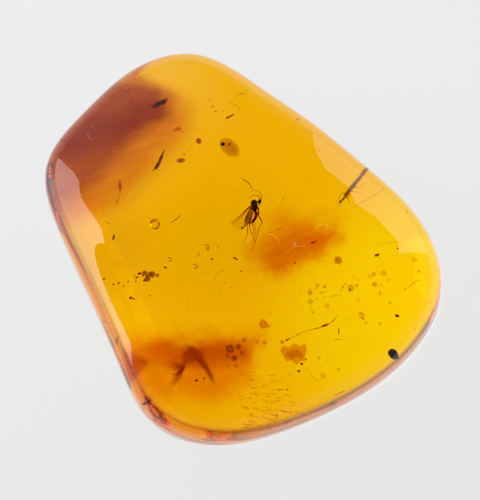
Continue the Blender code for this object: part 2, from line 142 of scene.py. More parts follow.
def strands(name, routes, finish, roundness=2, steps=5):
    # tubes through points (x, y, z, radius) in millimetres
    curve = bpy.data.curves.new(name, "CURVE")
    curve.dimensions = "3D"
    curve.bevel_depth = mm
    curve.bevel_resolution = roundness
    curve.resolution_u = steps
    curve.use_fill_caps = True
    for route in routes:
        spline = curve.splines.new("BEZIER")
        spline.bezier_points.add(len(route) - 1)
        for knot, (x, y, z, r) in zip(spline.bezier_points, route):
            knot.co = spot(x, y, z)
            knot.radius = r
            knot.handle_left_type = "AUTO"
            knot.handle_right_type = "AUTO"
    piece = bpy.data.objects.new(name, curve)
    bpy.context.scene.collection.objects.link(piece)
    pick(piece)
    bpy.ops.object.convert(target="MESH")
    piece = bpy.context.object
    editAll()
    bpy.ops.mesh.remove_doubles(threshold=1e-7)
    bpy.ops.mesh.normals_make_consistent(inside=False)
    bpy.ops.object.mode_set(mode="OBJECT")
    bpy.ops.object.shade_smooth()
    return paint(piece, finish)


def lump(centre, radii, turn=0.0, rough=0.0, grain=1.5, seed=0, detail=3, tilt=0.0):
    # a rounded body with an uneven skin, in millimetres; rough is a share of its radius
    bpy.ops.mesh.primitive_ico_sphere_add(subdivisions=detail, radius=1)
    piece = bpy.context.object
    offset = Vector((seed * 7.31, seed * 3.17, seed * 5.03))
    place = Matrix.Rotation(math.radians(turn), 4, "Z") @ Matrix.Rotation(math.radians(tilt), 4, "Y")
    for vertex in piece.data.vertices:
        swell = 1 + rough * noise.noise(vertex.co * grain + offset) * 2
        grown = Vector([vertex.co[i] * radii[i] * swell for i in range(3)])
        vertex.co = spot(*(place @ grown + Vector(centre)))
    bpy.ops.object.shade_smooth()
    return piece


def flake(name, outline, level, thickness, finish, rough=0.02, grain=0.25, seed=1, levels=2):
    # a thin chip: an outline given thickness, its edges bevelled, then worn by a noise
    bpy.ops.mesh.primitive_circle_add(vertices=len(outline), radius=mm, fill_type="NGON")
    piece = bpy.context.object
    piece.name = name
    for vertex, (x, y) in zip(piece.data.vertices, outline):
        vertex.co = spot(x, y, level - thickness / 2)
    editAll()
    bpy.ops.mesh.extrude_region_move(TRANSFORM_OT_translate={"value": (0, 0, thickness * mm)})
    bpy.ops.mesh.select_all(action="SELECT")
    bpy.ops.mesh.normals_make_consistent(inside=False)
    bpy.ops.mesh.bevel(offset=thickness * 0.42 * mm, segments=2, clamp_overlap=True)
    bpy.ops.mesh.remove_doubles(threshold=1e-7)
    bpy.ops.mesh.quads_convert_to_tris()
    bpy.ops.object.mode_set(mode="OBJECT")
    smooth = piece.modifiers.new("soften", "SUBSURF")
    smooth.levels = levels
    smooth.render_levels = levels
    wear(piece, rough, grain, seed)
    applyAll(piece)
    bpy.ops.object.shade_smooth()
    return paint(piece, finish)


def wear(piece, depth, grain, seed):
    pattern = bpy.data.textures.new(piece.name + "Wear", "CLOUDS")
    pattern.noise_scale = grain * mm
    pattern.noise_depth = 2
    step = piece.modifiers.new("wear", "DISPLACE")
    step.texture = pattern
    step.texture_coords = "LOCAL"
    step.strength = depth * mm * 2
    step.mid_level = 0.5
    return step


def weathered(nodeName, newName, finish, voxel, depth, grain):
    # a worn copy of a plain solid, on its own place
    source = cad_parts[nodeName]
    piece = bpy.data.objects.new(newName, source.data.copy())
    bpy.context.scene.collection.objects.link(piece)
    piece.matrix_world = source.matrix_world.copy()
    pick(piece)
    bpy.ops.object.transform_apply(location=True, rotation=True, scale=True)
    editAll()
    bpy.ops.mesh.remove_doubles(threshold=1e-7)
    bpy.ops.object.mode_set(mode="OBJECT")
    rebuild = piece.modifiers.new("rebuild", "REMESH")
    rebuild.mode = "VOXEL"
    rebuild.voxel_size = voxel * mm
    soften = piece.modifiers.new("soften", "SMOOTH")
    soften.factor = 0.5
    soften.iterations = 4
    wear(piece, depth, grain, 1)
    applyAll(piece)
    bpy.ops.object.shade_smooth()
    return paint(piece, finish)


# the stone

stone = {
    "height": 9.0, "widest": 3.2, "fullness": 4.2, "rimTightness": 4.0, "taper": 0.05, "halfWidth": 15.5,
    "centre": (-0.57, -0.34), "inset": 5.0, "shift": (1.2, 0.6),
    "around": 224, "rings": 112, "flatRings": 14,
    "outline": [
        (15.72, -3.3), (14.05, 2.16), (10.15, 6.18), (5.9, 9.8), (1.5, 12.97), (-4.2, 15.85),
        (-8.65, 14.65), (-12.7, 11.06), (-15.8, 6.38), (-14.54, 0.9), (-12.14, -4.3), (-9.9, -9.35),
        (-7.13, -14.05), (-2.2, -15.75), (3.15, -14.66), (8.1, -12.44), (12.8, -8.98),
    ],
    # air bubbles: x, y, level and radius in millimetres
    "bubbles": [
        (-6.95, 1.43, 4.9, 0.42), (-2.87, -0.43, 5.2, 0.20), (-2.80, -0.60, 5.0, 0.15),
        (-3.57, -0.99, 4.6, 0.13), (-3.76, -2.00, 5.1, 0.20), (-2.01, -0.35, 4.4, 0.12),
        (-8.93, 12.13, 4.6, 0.21), (10.62, -4.02, 4.9, 0.15), (-5.74, -1.48, 5.3, 0.17),
        (12.42, -3.66, 4.9, 0.10), (3.10, 3.60, 4.2, 0.07), (-1.40, -3.20, 4.1, 0.08),
        (-4.80, 9.10, 4.0, 0.09), (-10.90, 6.40, 4.2, 0.08), (2.30, -12.70, 4.0, 0.09),
    ],
}


def smoothOutline(points, count, fine=32):
    # evenly spaced points on the closed cubic curve through the given ones
    knots = np.array(points, float)
    following = np.roll(knots, -1, axis=0)
    spans = np.linalg.norm(following - knots, axis=1)
    total = len(knots)
    system = np.zeros((total, total))
    for i in range(total):
        system[i, i - 1] = spans[i - 1]
        system[i, i] = 2 * (spans[i - 1] + spans[i])
        system[i, (i + 1) % total] = spans[i]
    slopes = (following - knots) / spans[:, None]
    bends = np.linalg.solve(system, 6 * (slopes - np.roll(slopes, 1, axis=0)))
    t = np.linspace(0, 1, fine, endpoint=False)[None, :, None]
    span = spans[:, None, None]
    straight = (1 - t) * knots[:, None, :] + t * following[:, None, :]
    bowed = ((1 - t) ** 3 - (1 - t)) * bends[:, None, :]
    bowed = bowed + (t ** 3 - t) * np.roll(bends, -1, axis=0)[:, None, :]
    curve = (straight + span ** 2 / 6 * bowed).reshape(-1, 2)
    closed = np.vstack([curve, curve[:1]])
    run = np.concatenate([[0], np.cumsum(np.linalg.norm(np.diff(closed, axis=0), axis=1))])
    marks = np.linspace(0, run[-1], count, endpoint=False)
    return np.column_stack([np.interp(marks, run, closed[:, axis]) for axis in (0, 1)])


def makeStone(finish, wall):
    # a sphere whose meridians are drawn out to the outline and whose rings follow the crown and the underside
    around = stone["around"]
    rings = stone["rings"]
    outline = smoothOutline(stone["outline"], around)
    centre = np.array(stone["centre"])
    widest = stone["widest"]
    crown = stone["height"] - widest
    bpy.ops.mesh.primitive_uv_sphere_add(segments=around, ring_count=rings, radius=1)
    piece = bpy.context.object
    sideRings = rings // 2 - stone["flatRings"]
    step = math.pi / rings
    for vertex in piece.data.vertices:
        x, y, z = vertex.co
        latitude = math.asin(max(-1.0, min(1.0, z)))
        meridian = round(math.atan2(y, x) / (2 * math.pi) * around) % around
        edge = outline[meridian] - centre
        if latitude >= 0:
            share = math.cos(latitude) ** (2 / stone["fullness"])
            place = centre + edge * share
            rise = crown * math.sin(latitude) ** (2 / stone["rimTightness"])
            rise *= 1 - stone["taper"] * place[0] / stone["halfWidth"]
            level = widest + rise
        else:
            down = round(-latitude / step)  # rings below the widest one
            inset = stone["inset"] / stone["halfWidth"]
            turn = math.pi / 2 * (1 - min(1.0, down / sideRings))
            share = 1 - inset * (1 - math.sin(turn))
            level = widest * (1 - math.cos(turn))
            if down > sideRings:
                share *= 1 - (down - sideRings) / stone["flatRings"]
                level = 0.0
            place = centre + np.array(stone["shift"]) * (1 - level / widest) + edge * share
        vertex.co = spot(place[0], place[1], level)
    bpy.ops.object.shade_smooth()
    hollows = []
    for x, y, z, r in stone["bubbles"]:
        bpy.ops.mesh.primitive_uv_sphere_add(
            segments=28, ring_count=16, radius=r * mm, location=spot(x, y, z),
        )
        bubble = bpy.context.object
        editAll()
        bpy.ops.transform.resize(value=(1.0, 1.08, 0.85), center_override=spot(x, y, z))
        bpy.ops.mesh.flip_normals()  # a hollow's faces look into it, out of the amber
        bpy.ops.object.mode_set(mode="OBJECT")
        bpy.ops.object.shade_smooth()
        hollows.append(bubble)
    for bubble in hollows:
        paint(bubble, wall)
    return joined("amberStone", [paint(piece, finish)] + hollows)


# clouds in the resin: colour, strength, how far the edge strays, and the corners, each with the softness of
# the edge
# that starts there, all in millimetres
clouds = [
    ("#ffdc1c", 0.90, 1.2, [
        (2.0, -4.0, 3.5), (5.0, -12.5, 3.5), (15.0, -11.0, 3.5), (17.5, 3.0, 3.5), (9.0, 4.0, 4.0),
    ]),
    ("#f2b60c", 0.80, 1.0, [
        (-15.5, 2.4, 2.0), (-15.5, -4.5, 2.0), (-10.5, -4.0, 2.0), (-7.0, -0.5, 2.5), (-9.5, 2.8, 2.0),
    ]),
    ("#df7a08", 0.92, 0.35, [
        (-16.1, 15.1, 0.35), (-16.1, 1.7, 1.1), (-10.6, 2.2, 1.8), (-6.4, 6.0, 1.8), (-3.8, 9.4, 1.4),
        (-5.0, 12.1, 0.5),
    ]),
    ("#a53c08", 0.95, 0.30, [
        (-16.1, 14.9, 0.30), (-16.1, 2.5, 1.0), (-11.4, 3.1, 1.4), (-8.8, 7.4, 1.5), (-4.9, 10.8, 0.6),
        (-5.3, 12.0, 0.4),
    ]),
    ("#8a2205", 0.90, 0.6, [
        (-16.1, 8.5, 1.0), (-15.3, 5.8, 1.0), (-5.6, 10.3, 0.7), (-6.6, 11.8, 1.0),
    ]),
    ("#ee9203", 0.95, 1.3, [
        (0.3, -0.6, 1.4), (1.6, -2.9, 1.2), (4.6, -2.6, 1.3), (7.3, -0.9, 1.3), (8.0, 1.6, 1.3),
        (5.3, 2.5, 1.4), (1.6, 1.9, 1.2),
    ]),
    ("#e06a02", 0.80, 0.9, [
        (1.7, -1.9, 0.7), (3.9, -2.0, 0.7), (7.0, 0.3, 0.8), (6.6, 1.4, 0.8), (2.3, 0.2, 0.7),
    ]),
    ("#ee8402", 0.95, 0.9, [
        (-9.8, -7.6, 0.9), (-9.4, -9.6, 0.8), (-8.4, -11.6, 1.2), (-2.2, -12.6, 1.2), (0.9, -10.2, 0.9),
        (1.3, -7.2, 1.2),
    ]),
    ("#cc5002", 0.85, 0.6, [
        (-7.4, -8.0, 0.7), (-6.6, -9.6, 0.6), (-4.2, -10.1, 0.6), (0.4, -9.3, 0.7), (0.4, -7.9, 0.7),
    ]),
    ("#b83c04", 1.0, 0.3, [
        (-9.6, -8.3, 0.25), (-8.9, -11.3, 0.25), (-7.2, -9.3, 0.25),
    ]),
    ("#902602", 0.90, 0.15, [
        (-4.7, -8.1, 0.2), (-3.0, -10.2, 0.2), (-2.4, -11.0, 0.2), (-2.3, -10.5, 0.2), (-3.8, -8.2, 0.3),
    ]),
    ("#902602", 0.85, 0.15, [
        (-5.8, -9.4, 0.2), (-5.3, -9.8, 0.2), (-4.6, -10.1, 0.2), (-4.5, -9.5, 0.2),
    ]),
    ("#902602", 0.85, 0.15, [
        (-5.3, -10.9, 0.2), (-4.7, -10.7, 0.2), (-4.5, -9.7, 0.2), (-5.0, -10.0, 0.2),
    ]),
    ("#a03004", 0.90, 0.25, [
        (-4.7, -8.5, 0.25), (-4.6, -9.6, 0.3), (-3.1, -9.2, 0.3), (-3.1, -8.4, 0.3),
    ]),
    ("#ffd400", 0.90, 0.4, [
        (0.9, -10.4, 0.4), (1.9, -10.4, 0.4), (1.9, -9.8, 0.4), (0.9, -9.8, 0.4),
    ]),
]
middleLevel = 4.5  # millimetres above the paper
lookSlant = 0.148  # the clouds lie in sheets that lean this much, so each edge reads as one
streakTurn = 22  # degrees
clearTint = "#ffc614"
keptPerDepth = (0.998, 0.945, 0.0, 1)  # red passes, blue is soaked up
absorption = 300.0  # to the metre


def cloudMask(tree, place, strength, corners):
    # 1 inside the corners, 0 outside, by one soft half-plane for each side
    following = corners[1:] + corners[:1]
    area = sum(x0 * y1 - x1 * y0 for (x0, y0, _), (x1, y1, _) in zip(corners, following))
    mask = None
    for (x0, y0, soft), (x1, y1, _) in zip(corners, following):
        inward = Vector((y0 - y1, x1 - x0, 0)).normalized() * (1 if area > 0 else -1)
        offset = inward.dot(spot(x0, y0, 0))
        depth = addNode(tree, "VectorMath", {1: inward}, {0: place}, operation="DOT_PRODUCT")
        side = addNode(
            tree, "MapRange",
            {
                "From Min": offset - soft * mm, "From Max": offset + soft * mm,
                "To Max": strength if mask is None else 1.0,
            },
            {"Value": depth.outputs["Value"]}, interpolation_type="SMOOTHSTEP",
        )
        if mask is None:
            mask = side.outputs[0]
        else:
            mask = combine(tree, mask, side.outputs[0], "MULTIPLY")
    return mask


def makeAmber():
    # clear fossil resin: yellow by its own colour and by the depth of it, clouded red in places
    finish, tree, shader = newMaterial("clearAmber", Transmission_Weight=1.0, Roughness=0.0, IOR=amberIor)
    place = addNode(tree, "TexCoord").outputs["Object"]
    level = addNode(tree, "SeparateXYZ", None, {"Vector": place}).outputs["Z"]
    lean = addNode(
        tree, "Math", {1: lookSlant, 2: -lookSlant * middleLevel * mm}, {0: level}, operation="MULTIPLY_ADD",
    )
    shift = addNode(tree, "CombineXYZ", None, {"Y": lean.outputs[0]})
    leant = addNode(tree, "VectorMath", None, {0: place, 1: shift.outputs[0]}, operation="ADD").outputs[0]
    sheet = addNode(tree, "VectorMath", {1: (1, 1, 0)}, {0: leant}, operation="MULTIPLY").outputs[0]
    drift = addNode(tree, "TexNoise", {"Scale": 420.0, "Detail": 5.0, "Roughness": 0.6}, {"Vector": sheet})
    centred = addNode(
        tree, "VectorMath", {1: (0.5, 0.5, 0.5)}, {0: drift.outputs["Color"]}, operation="SUBTRACT",
    )
    # streaks a few millimetres long break the clouds up
    along = addNode(
        tree, "Mapping", {"Rotation": (0, 0, math.radians(streakTurn)), "Scale": (0.004, 0.0008, 0.01)},
        {"Vector": sheet}, vector_type="TEXTURE",
    )
    streak = addNode(
        tree, "TexNoise", {"Scale": 1.0, "Detail": 4.0, "Roughness": 0.55}, {"Vector": along.outputs[0]},
    )
    thin = addNode(
        tree, "MapRange", {"From Min": 0.35, "From Max": 0.6, "To Min": 0.86, "To Max": 1.0},
        {"Value": streak.outputs["Fac"]}, interpolation_type="SMOOTHSTEP",
    ).outputs[0]
    clear = addNode(tree, "RGB").outputs[0]
    clear.default_value = hexColour(clearTint)
    colour = clear
    for tint, strength, ragged, corners in clouds:
        stray = addNode(
            tree, "VectorMath", {"Scale": ragged * 3.2 * mm}, {0: centred.outputs[0]}, operation="SCALE",
        )
        shifted = addNode(tree, "VectorMath", None, {0: sheet, 1: stray.outputs[0]}, operation="ADD")
        mask = cloudMask(tree, shifted.outputs[0], strength, corners)
        broken = combine(tree, mask, thin, "MULTIPLY")
        mix = addNode(
            tree, "Mix", {7: hexColour(tint)}, {"Factor": broken, 6: colour}, data_type="RGBA",
        )
        colour = mix.outputs[2]
    tree.links.new(colour, shader.inputs["Base Color"])
    depth = addNode(tree, "VolumeAbsorption", {"Color": keptPerDepth, "Density": absorption})
    tree.links.new(depth.outputs[0], tree.nodes["Material Output"].inputs["Volume"])
    return finish


amber = makeAmber()
bubbleWall = newMaterial(
    "bubbleWall", Base_Color=(1, 1, 1, 1), Transmission_Weight=1.0, Roughness=0.0, IOR=amberIor,
)[0]  # bare resin round a pocket of air, so it only bends the light
seat(makeStone(amber, bubbleWall), "clear_amber", "amber_top", "amber_base")
print("stone made")


# finishes of what is sealed in it

def mottled(name, dark, light, scale, roughness=0.6, bump=0.0):
    # two browns in patches a fraction of a millimetre across
    finish, tree, shader = newMaterial(name, Roughness=roughness)
    place = addNode(tree, "TexCoord").outputs["Object"]
    patch = addNode(
        tree, "TexNoise", {"Scale": scale / mm, "Detail": 5.0, "Roughness": 0.65}, {"Vector": place},
    )
    ramp = addNode(tree, "ValToRGB", None, {"Fac": patch.outputs["Fac"]})
    ramp.color_ramp.elements[0].position = 0.35
    ramp.color_ramp.elements[0].color = hexColour(dark)
    ramp.color_ramp.elements[1].position = 0.65
    ramp.color_ramp.elements[1].color = hexColour(light)
    tree.links.new(ramp.outputs["Color"], shader.inputs["Base Color"])
    if bump:
        relief = addNode(
            tree, "Bump", {"Strength": bump, "Distance": 0.01 * mm}, {"Height": patch.outputs["Fac"]},
        )
        tree.links.new(relief.outputs[0], shader.inputs["Normal"])
    return finish


def soaked(name, tint, density):
    # a soft body that only darkens the light passing through it, so its edge fades
    finish, tree, shader = newMaterial(name)
    tree.nodes.remove(shader)
    clear = addNode(tree, "BsdfTransparent")
    depth = addNode(tree, "VolumeAbsorption", {"Color": hexColour(tint), "Density": density / mm})
    output = tree.nodes["Material Output"]
    tree.links.new(clear.outputs[0], output.inputs["Surface"])
    tree.links.new(depth.outputs[0], output.inputs["Volume"])
    return finish


blackSkin = mottled("gnatSkin", "#120703", "#3a1508", 6.0, 0.42, 0.4)
paleSkin = mottled("gnatSegments", "#5a2410", "#b07858", 7.0, 0.5, 0.3)
eyeSkin = mottled("gnatEyes", "#080302", "#1c0b06", 30.0, 0.25, 0.6)
greySkin = soaked("slimInsectSkin", "#a87448", 6.5)
barkSkin = mottled("darkBark", "#0d0c07", "#3a2a15", 5.0, 0.85, 0.6)
legSkin = soaked("gnatLegs", "#d46430", 44.0)
bellySkin = soaked("gnatAbdomen", "#b4584c", 13.5)
veinSkin = soaked("wingVein", "#d46430", 30.0)
redWood = soaked("redWood", "#cc3410", 5.5)
barkTint = soaked("thinBark", "#8c5a30", 12.0)
frassSkin = soaked("frass", "#b3503f", 5.0)
pelletSkin = soaked("pellet", "#b86414", 4.6)
rustSkin = soaked("rustSkin", "#dc5500", 3.6)
hairSkin = soaked("plantHair", "#d06830", 44.0)
speckSkin = soaked("brownSpeck", "#cc5824", 26.0)
sapBrown = soaked("brownSap", "#ce7c00", 3.0)
sapOrange = soaked("orangeSap", "#dc6400", 3.4)
sapRed = soaked("redSap", "#8c2800", 2.6)
sapOlive = soaked("oliveSap", "#a05c08", 5.0)
huskBody = soaked("huskBody", "#c47850", 1.7)
print("finishes made")


# the gnat

gnat = {
    "place": (0.87, 3.01, 4.45),
    "frontLeg": [
        (0.10, 0.02, -0.10, 0.09), (0.24, -0.20, -0.16, 0.085), (0.32, -0.46, -0.21, 0.06),
        (0.34, -0.79, -0.24, 0.05), (0.47, -1.04, -0.24, 0.05), (0.60, -1.35, -0.22, 0.045),
        (0.53, -1.44, -0.21, 0.035), (0.45, -1.56, -0.20, 0.034), (0.32, -1.92, -0.18, 0.032),
        (0.22, -2.33, -0.16, 0.036), (0.20, -2.41, -0.16, 0.024), (0.14, -2.67, -0.15, 0.027),
        (0.02, -3.06, -0.14, 0.022), (-0.06, -3.32, -0.14, 0.024), (-0.17, -3.70, -0.14, 0.014),
    ],
    "tuckedLeg": [
        (0.10, 0.02, 0.12, 0.08), (0.30, -0.26, 0.22, 0.06), (0.31, -0.56, 0.26, 0.05),
        (0.24, -0.80, 0.26, 0.05), (0.08, -0.98, 0.28, 0.045), (-0.02, -1.30, 0.30, 0.032),
        (0.06, -1.72, 0.28, 0.028), (0.10, -2.10, 0.26, 0.014),
    ],
    "middleNear": [
        (0.02, -0.20, 0.12, 0.09), (0.20, -0.80, 0.24, 0.07), (0.10, -1.12, 0.28, 0.085),
        (-0.20, -1.36, 0.32, 0.075), (-0.57, -1.60, 0.34, 0.045), (-0.57, -1.72, 0.33, 0.033),
        (-0.55, -2.00, 0.32, 0.033), (-0.55, -2.22, 0.31, 0.042), (-0.56, -2.30, 0.31, 0.026),
        (-0.60, -2.54, 0.30, 0.028), (-0.78, -2.85, 0.28, 0.022), (-1.02, -3.09, 0.26, 0.013),
    ],
    "middleFar": [
        (0.02, -0.20, -0.12, 0.09), (0.16, -0.86, -0.22, 0.075), (0.02, -1.16, -0.28, 0.08),
        (-0.17, -1.42, -0.32, 0.05), (-0.14, -1.54, -0.32, 0.034), (-0.06, -1.82, -0.31, 0.034),
        (0.02, -2.28, -0.30, 0.038), (0.03, -2.36, -0.30, 0.024), (0.03, -2.64, -0.29, 0.026),
        (-0.04, -2.93, -0.28, 0.013),
    ],
    "hindLeg": [
        (-0.02, -0.26, 0.02, 0.09), (0.04, -0.88, 0.04, 0.075), (-0.14, -1.22, 0.03, 0.085),
        (-0.40, -1.62, 0.02, 0.05), (-0.38, -1.74, 0.02, 0.034), (-0.30, -2.03, 0.01, 0.034),
        (-0.17, -2.37, 0.0, 0.038), (-0.13, -2.45, 0.0, 0.026), (-0.06, -2.59, 0.0, 0.026),
        (-0.14, -2.88, 0.0, 0.022), (-0.31, -3.20, 0.0, 0.013),
    ],
    "nearAntenna": [
        (0.45, 0.46, 0.06), (0.41, 0.62, 0.08), (0.30, 0.75, 0.10), (0.05, 0.83, 0.12), (-0.17, 0.79, 0.14),
        (-0.32, 0.67, 0.15), (-0.47, 0.49, 0.15), (-0.56, 0.36, 0.15),
    ],
    "farAntenna": [
        (0.46, 0.46, -0.06), (0.56, 0.62, -0.08), (0.58, 0.77, -0.10), (0.47, 1.01, -0.12),
        (0.30, 1.19, -0.14), (0.06, 1.29, -0.15), (-0.14, 1.24, -0.15), (-0.30, 1.17, -0.15),
    ],
    "spine": [
        (-0.10, -0.28), (-0.24, -0.46), (-0.35, -0.68), (-0.44, -0.98), (-0.55, -1.24),
        (-0.64, -1.44), (-0.71, -1.58), (-0.78, -1.67), (-0.88, -1.76), (-0.98, -1.85), (-1.06, -1.93),
    ],
    "girth": [0.14, 0.19, 0.225, 0.255, 0.23, 0.16, 0.10, 0.055, 0.06, 0.09, 0.04],
    "wing": [
        (-0.14, 0.06), (-0.52, -0.18), (-0.83, -0.47), (-1.34, -0.98), (-1.74, -1.24), (-1.91, -1.36),
        (-1.84, -1.58), (-1.62, -1.80), (-1.34, -1.96), (-0.95, -1.78), (-0.55, -1.15), (-0.22, -0.35),
        (-0.06, -0.10),
    ],
    # veins run from near the hinge towards the wing's edge
    "veins": [
        [(-0.14, 0.02), (-0.52, -0.22), (-0.83, -0.51), (-1.34, -1.02), (-1.74, -1.28), (-1.87, -1.38)],
        [(-0.20, -0.06), (-0.60, -0.38), (-1.00, -0.80), (-1.44, -1.22), (-1.80, -1.58)],
        [(-0.60, -0.38), (-0.96, -0.92), (-1.30, -1.38), (-1.58, -1.78)],
        [(-0.20, -0.10), (-0.52, -0.62), (-0.88, -1.16), (-1.24, -1.68), (-1.38, -1.90)],
        [(-0.16, -0.14), (-0.40, -0.68), (-0.64, -1.14), (-0.94, -1.68)],
    ],
    "tilt": 0.16, "farTurn": 0.07, "thickness": 0.02,
    "legRange": (0.02, 0.062), "hollowShare": 0.72, "leadingVein": 0.055, "otherVeins": 0.014,
}


def onGnat(x, y, z):
    place = gnat["place"]
    return (x + place[0], y + place[1], z + place[2])


def placed(route):
    return [(*onGnat(x, y, z), r) for x, y, z, r in route]


def alongPath(points, count):
    # evenly spaced places on a soft curve through the points
    knots = np.array(points, float)
    run = np.concatenate([[0], np.cumsum(np.linalg.norm(np.diff(knots[:, :3], axis=0), axis=1))])
    marks = np.linspace(0, run[-1], count)
    path = np.column_stack([np.interp(marks, run, knots[:, axis]) for axis in range(knots.shape[1])])
    for _ in range(2):
        path[1:-1] = (path[:-2] + 2 * path[1:-1] + path[2:]) / 4
    return path


def wingPoint(x, y, height, turn, tilt, level):
    hinge = Vector((*gnat["wing"][0], 0))
    swing = Matrix.Rotation(turn, 4, "Z") @ Matrix.Rotation(tilt, 4, Vector((1, 1.4, 0)).normalized())
    bent = hinge + swing @ (Vector((x, y, height)) - hinge) + Vector((0, 0, level))
    return onGnat(*bent)


def makeWing(name, turn, tilt, level, membrane):
    outline = smoothOutline(gnat["wing"], 72)
    bpy.ops.mesh.primitive_circle_add(vertices=len(outline), radius=mm, fill_type="NGON")
    wing = bpy.context.object
    wing.name = name
    half = gnat["thickness"] / 2
    for vertex, (x, y) in zip(wing.data.vertices, outline):
        vertex.co = spot(*wingPoint(x, y, -half, turn, tilt, level))
    up = spot(*wingPoint(0, 0, half, turn, tilt, level)) - spot(*wingPoint(0, 0, -half, turn, tilt, level))
    editAll()
    bpy.ops.mesh.extrude_region_move(TRANSFORM_OT_translate={"value": up})
    bpy.ops.mesh.select_all(action="SELECT")
    bpy.ops.mesh.normals_make_consistent(inside=False)
    bpy.ops.mesh.quads_convert_to_tris()
    bpy.ops.object.mode_set(mode="OBJECT")
    return paint(wing, membrane)


def makeGnat():
    bodyParts = []
    thorax = lump(onGnat(-0.02, 0, 0), (0.27, 0.48, 0.26), 6, 0.03, 2.5, 3, 4)
    hump = lump(onGnat(-0.05, 0.24, 0), (0.26, 0.22, 0.24), 20, 0.03, 2.5, 5, 4)
    head = lump(onGnat(0.41, 0.34, 0), (0.14, 0.18, 0.15), -18, 0.02, 3.0, 7, 4)
    for part in (thorax, hump, head):
        bodyParts.append(paint(part, blackSkin))
    for side in (-1, 1):
        eye = lump(onGnat(0.42, 0.37, side * 0.10), (0.10, 0.125, 0.085), -18, 0.01, 9.0, 9, 4)
        bodyParts.append(paint(eye, eyeSkin))
        # balancers behind the wings
        knob = lump(onGnat(-0.34, -0.20, side * 0.26), (0.05, 0.07, 0.045), 20, 0.05, 3, 2, 2)
        bodyParts.append(paint(knob, paleSkin))
        stalk = placed([(-0.14, -0.14, side * 0.18, 0.018), (-0.33, -0.19, side * 0.26, 0.022)])
        bodyParts.append(strands("stalk", [stalk], paleSkin, 2, 2))
    neck = placed([(0.10, 0.24, 0, 0.09), (0.24, 0.28, 0, 0.06), (0.38, 0.32, 0, 0.08)])
    mouth = placed([(0.40, 0.24, 0, 0.07), (0.35, 0.13, 0, 0.05), (0.30, 0.04, 0, 0.015)])
    palps = [
        placed([
            (0.42, 0.22, side, 0.022), (0.46, 0.14, side, 0.026), (0.43, 0.05, side, 0.018),
            (0.37, -0.02, side, 0.010),
        ])
        for side in (-0.06, 0.06)
    ]
    bodyParts.append(strands("head parts", [neck, mouth] + palps, blackSkin, 3, 4))
    # the abdomen's plates swell between narrow rings of paler skin
    path = alongPath([(x, y, 0, r) for (x, y), r in zip(gnat["spine"], gnat["girth"])], 57)
    plates = []
    for i, (x, y, z, r) in enumerate(path):
        ridge = 1.0 + 0.07 * math.sin(math.pi * ((i % 7) / 7))
        plates.append((*onGnat(x, y, z), r * ridge))
    # the abdomen is a thin-walled tube, so its sides are darker than its middle
    shell = strands("abdomen", [plates], bellySkin, 6, 1)
    inner = [(x, y, z, r * gnat["hollowShare"]) for x, y, z, r in plates[3:42]]
    hollow = strands("hollow", [inner], bellySkin, 6, 1)
    flipFaces(hollow)
    bodyParts.extend([shell, hollow])
    tail = [
        placed([(-0.90, -1.77, side, 0.03), (-1.00, -1.83, side * 1.6, 0.04), (-1.05, -1.92, side, 0.015)])
        for side in (-0.05, 0.05)
    ]
    bodyParts.append(strands("claspers", tail, blackSkin, 2, 3))
    legs = []
    thinnest, thickest = gnat["legRange"]
    for leg in ("frontLeg", "tuckedLeg", "middleNear", "middleFar", "hindLeg"):
        legs.append(placed([(x, y, z, min(max(r, thinnest), thickest)) for x, y, z, r in gnat[leg]]))
    spurs = []
    for x, y, z in ((0.20, -2.41, -0.16), (-0.56, -2.30, 0.31), (0.03, -2.36, -0.30), (-0.13, -2.45, 0.0)):
        for side in (-1, 1):
            spurs.append(placed([(x, y, z, 0.012), (x + side * 0.05, y - 0.16, z + side * 0.03, 0.004)]))
    bodyParts.append(strands("legs", legs + spurs, legSkin, 2, 5))
    feelers = []
    for route in (gnat["nearAntenna"], gnat["farAntenna"]):
        beads = alongPath(route, 65)
        taper = np.linspace(0.036, 0.020, len(beads))
        feeler = []
        for i, (x, y, z) in enumerate(beads):
            feeler.append((*onGnat(x, y, z), taper[i] * (0.78 + 0.30 * abs(math.sin(math.pi * i / 4)))))
        feelers.append(feeler)
    bodyParts.append(strands("antennae", feelers, legSkin, 2, 1))
    # short bristles on the back and the plates
    rng = random.Random(4)
    bristles = []
    for _ in range(70):
        t = rng.random()
        x, y, z, r = path[int(t * 40)]
        turn = rng.uniform(0, 2 * math.pi)
        out = Vector((math.cos(turn), 0.2, math.sin(turn)))
        start = Vector(onGnat(x, y, z)) + out * r * 0.9
        end = start + out * 0.07 + Vector((-0.03, -0.06, 0))
        bristles.append([(*start, 0.005), (*end, 0.002)])
    for _ in range(50):
        turn = rng.uniform(0, 2 * math.pi)
        rise = rng.uniform(-0.2, 0.9)
        out = Vector((-abs(math.cos(turn)) * 0.8, rise, math.sin(turn))).normalized()
        start = Vector(onGnat(-0.03, 0.10, 0)) + Vector((out.x * 0.23, out.y * 0.30, out.z * 0.23))
        bristles.append([(*start, 0.006), (*(start + out * 0.10), 0.002)])
    bodyParts.append(strands("bristles", bristles, legSkin, 0, 1))
    return joined("gnatBody", bodyParts)


def makeMembrane():
    # a thin brown film that mostly lets the light through, with a satin sheen
    finish, tree, shader = newMaterial("wingMembrane", Roughness=0.3, Alpha=0.035)
    place = addNode(tree, "TexCoord").outputs["Object"]
    cells = addNode(tree, "TexNoise", {"Scale": 4000.0, "Detail": 3.0}, {"Vector": place})
    ramp = addNode(tree, "ValToRGB", None, {"Fac": cells.outputs["Fac"]})
    ramp.color_ramp.elements[0].color = hexColour("#7a3c08")
    ramp.color_ramp.elements[1].color = hexColour("#b8741c")
    tree.links.new(ramp.outputs["Color"], shader.inputs["Base Color"])
    return finish


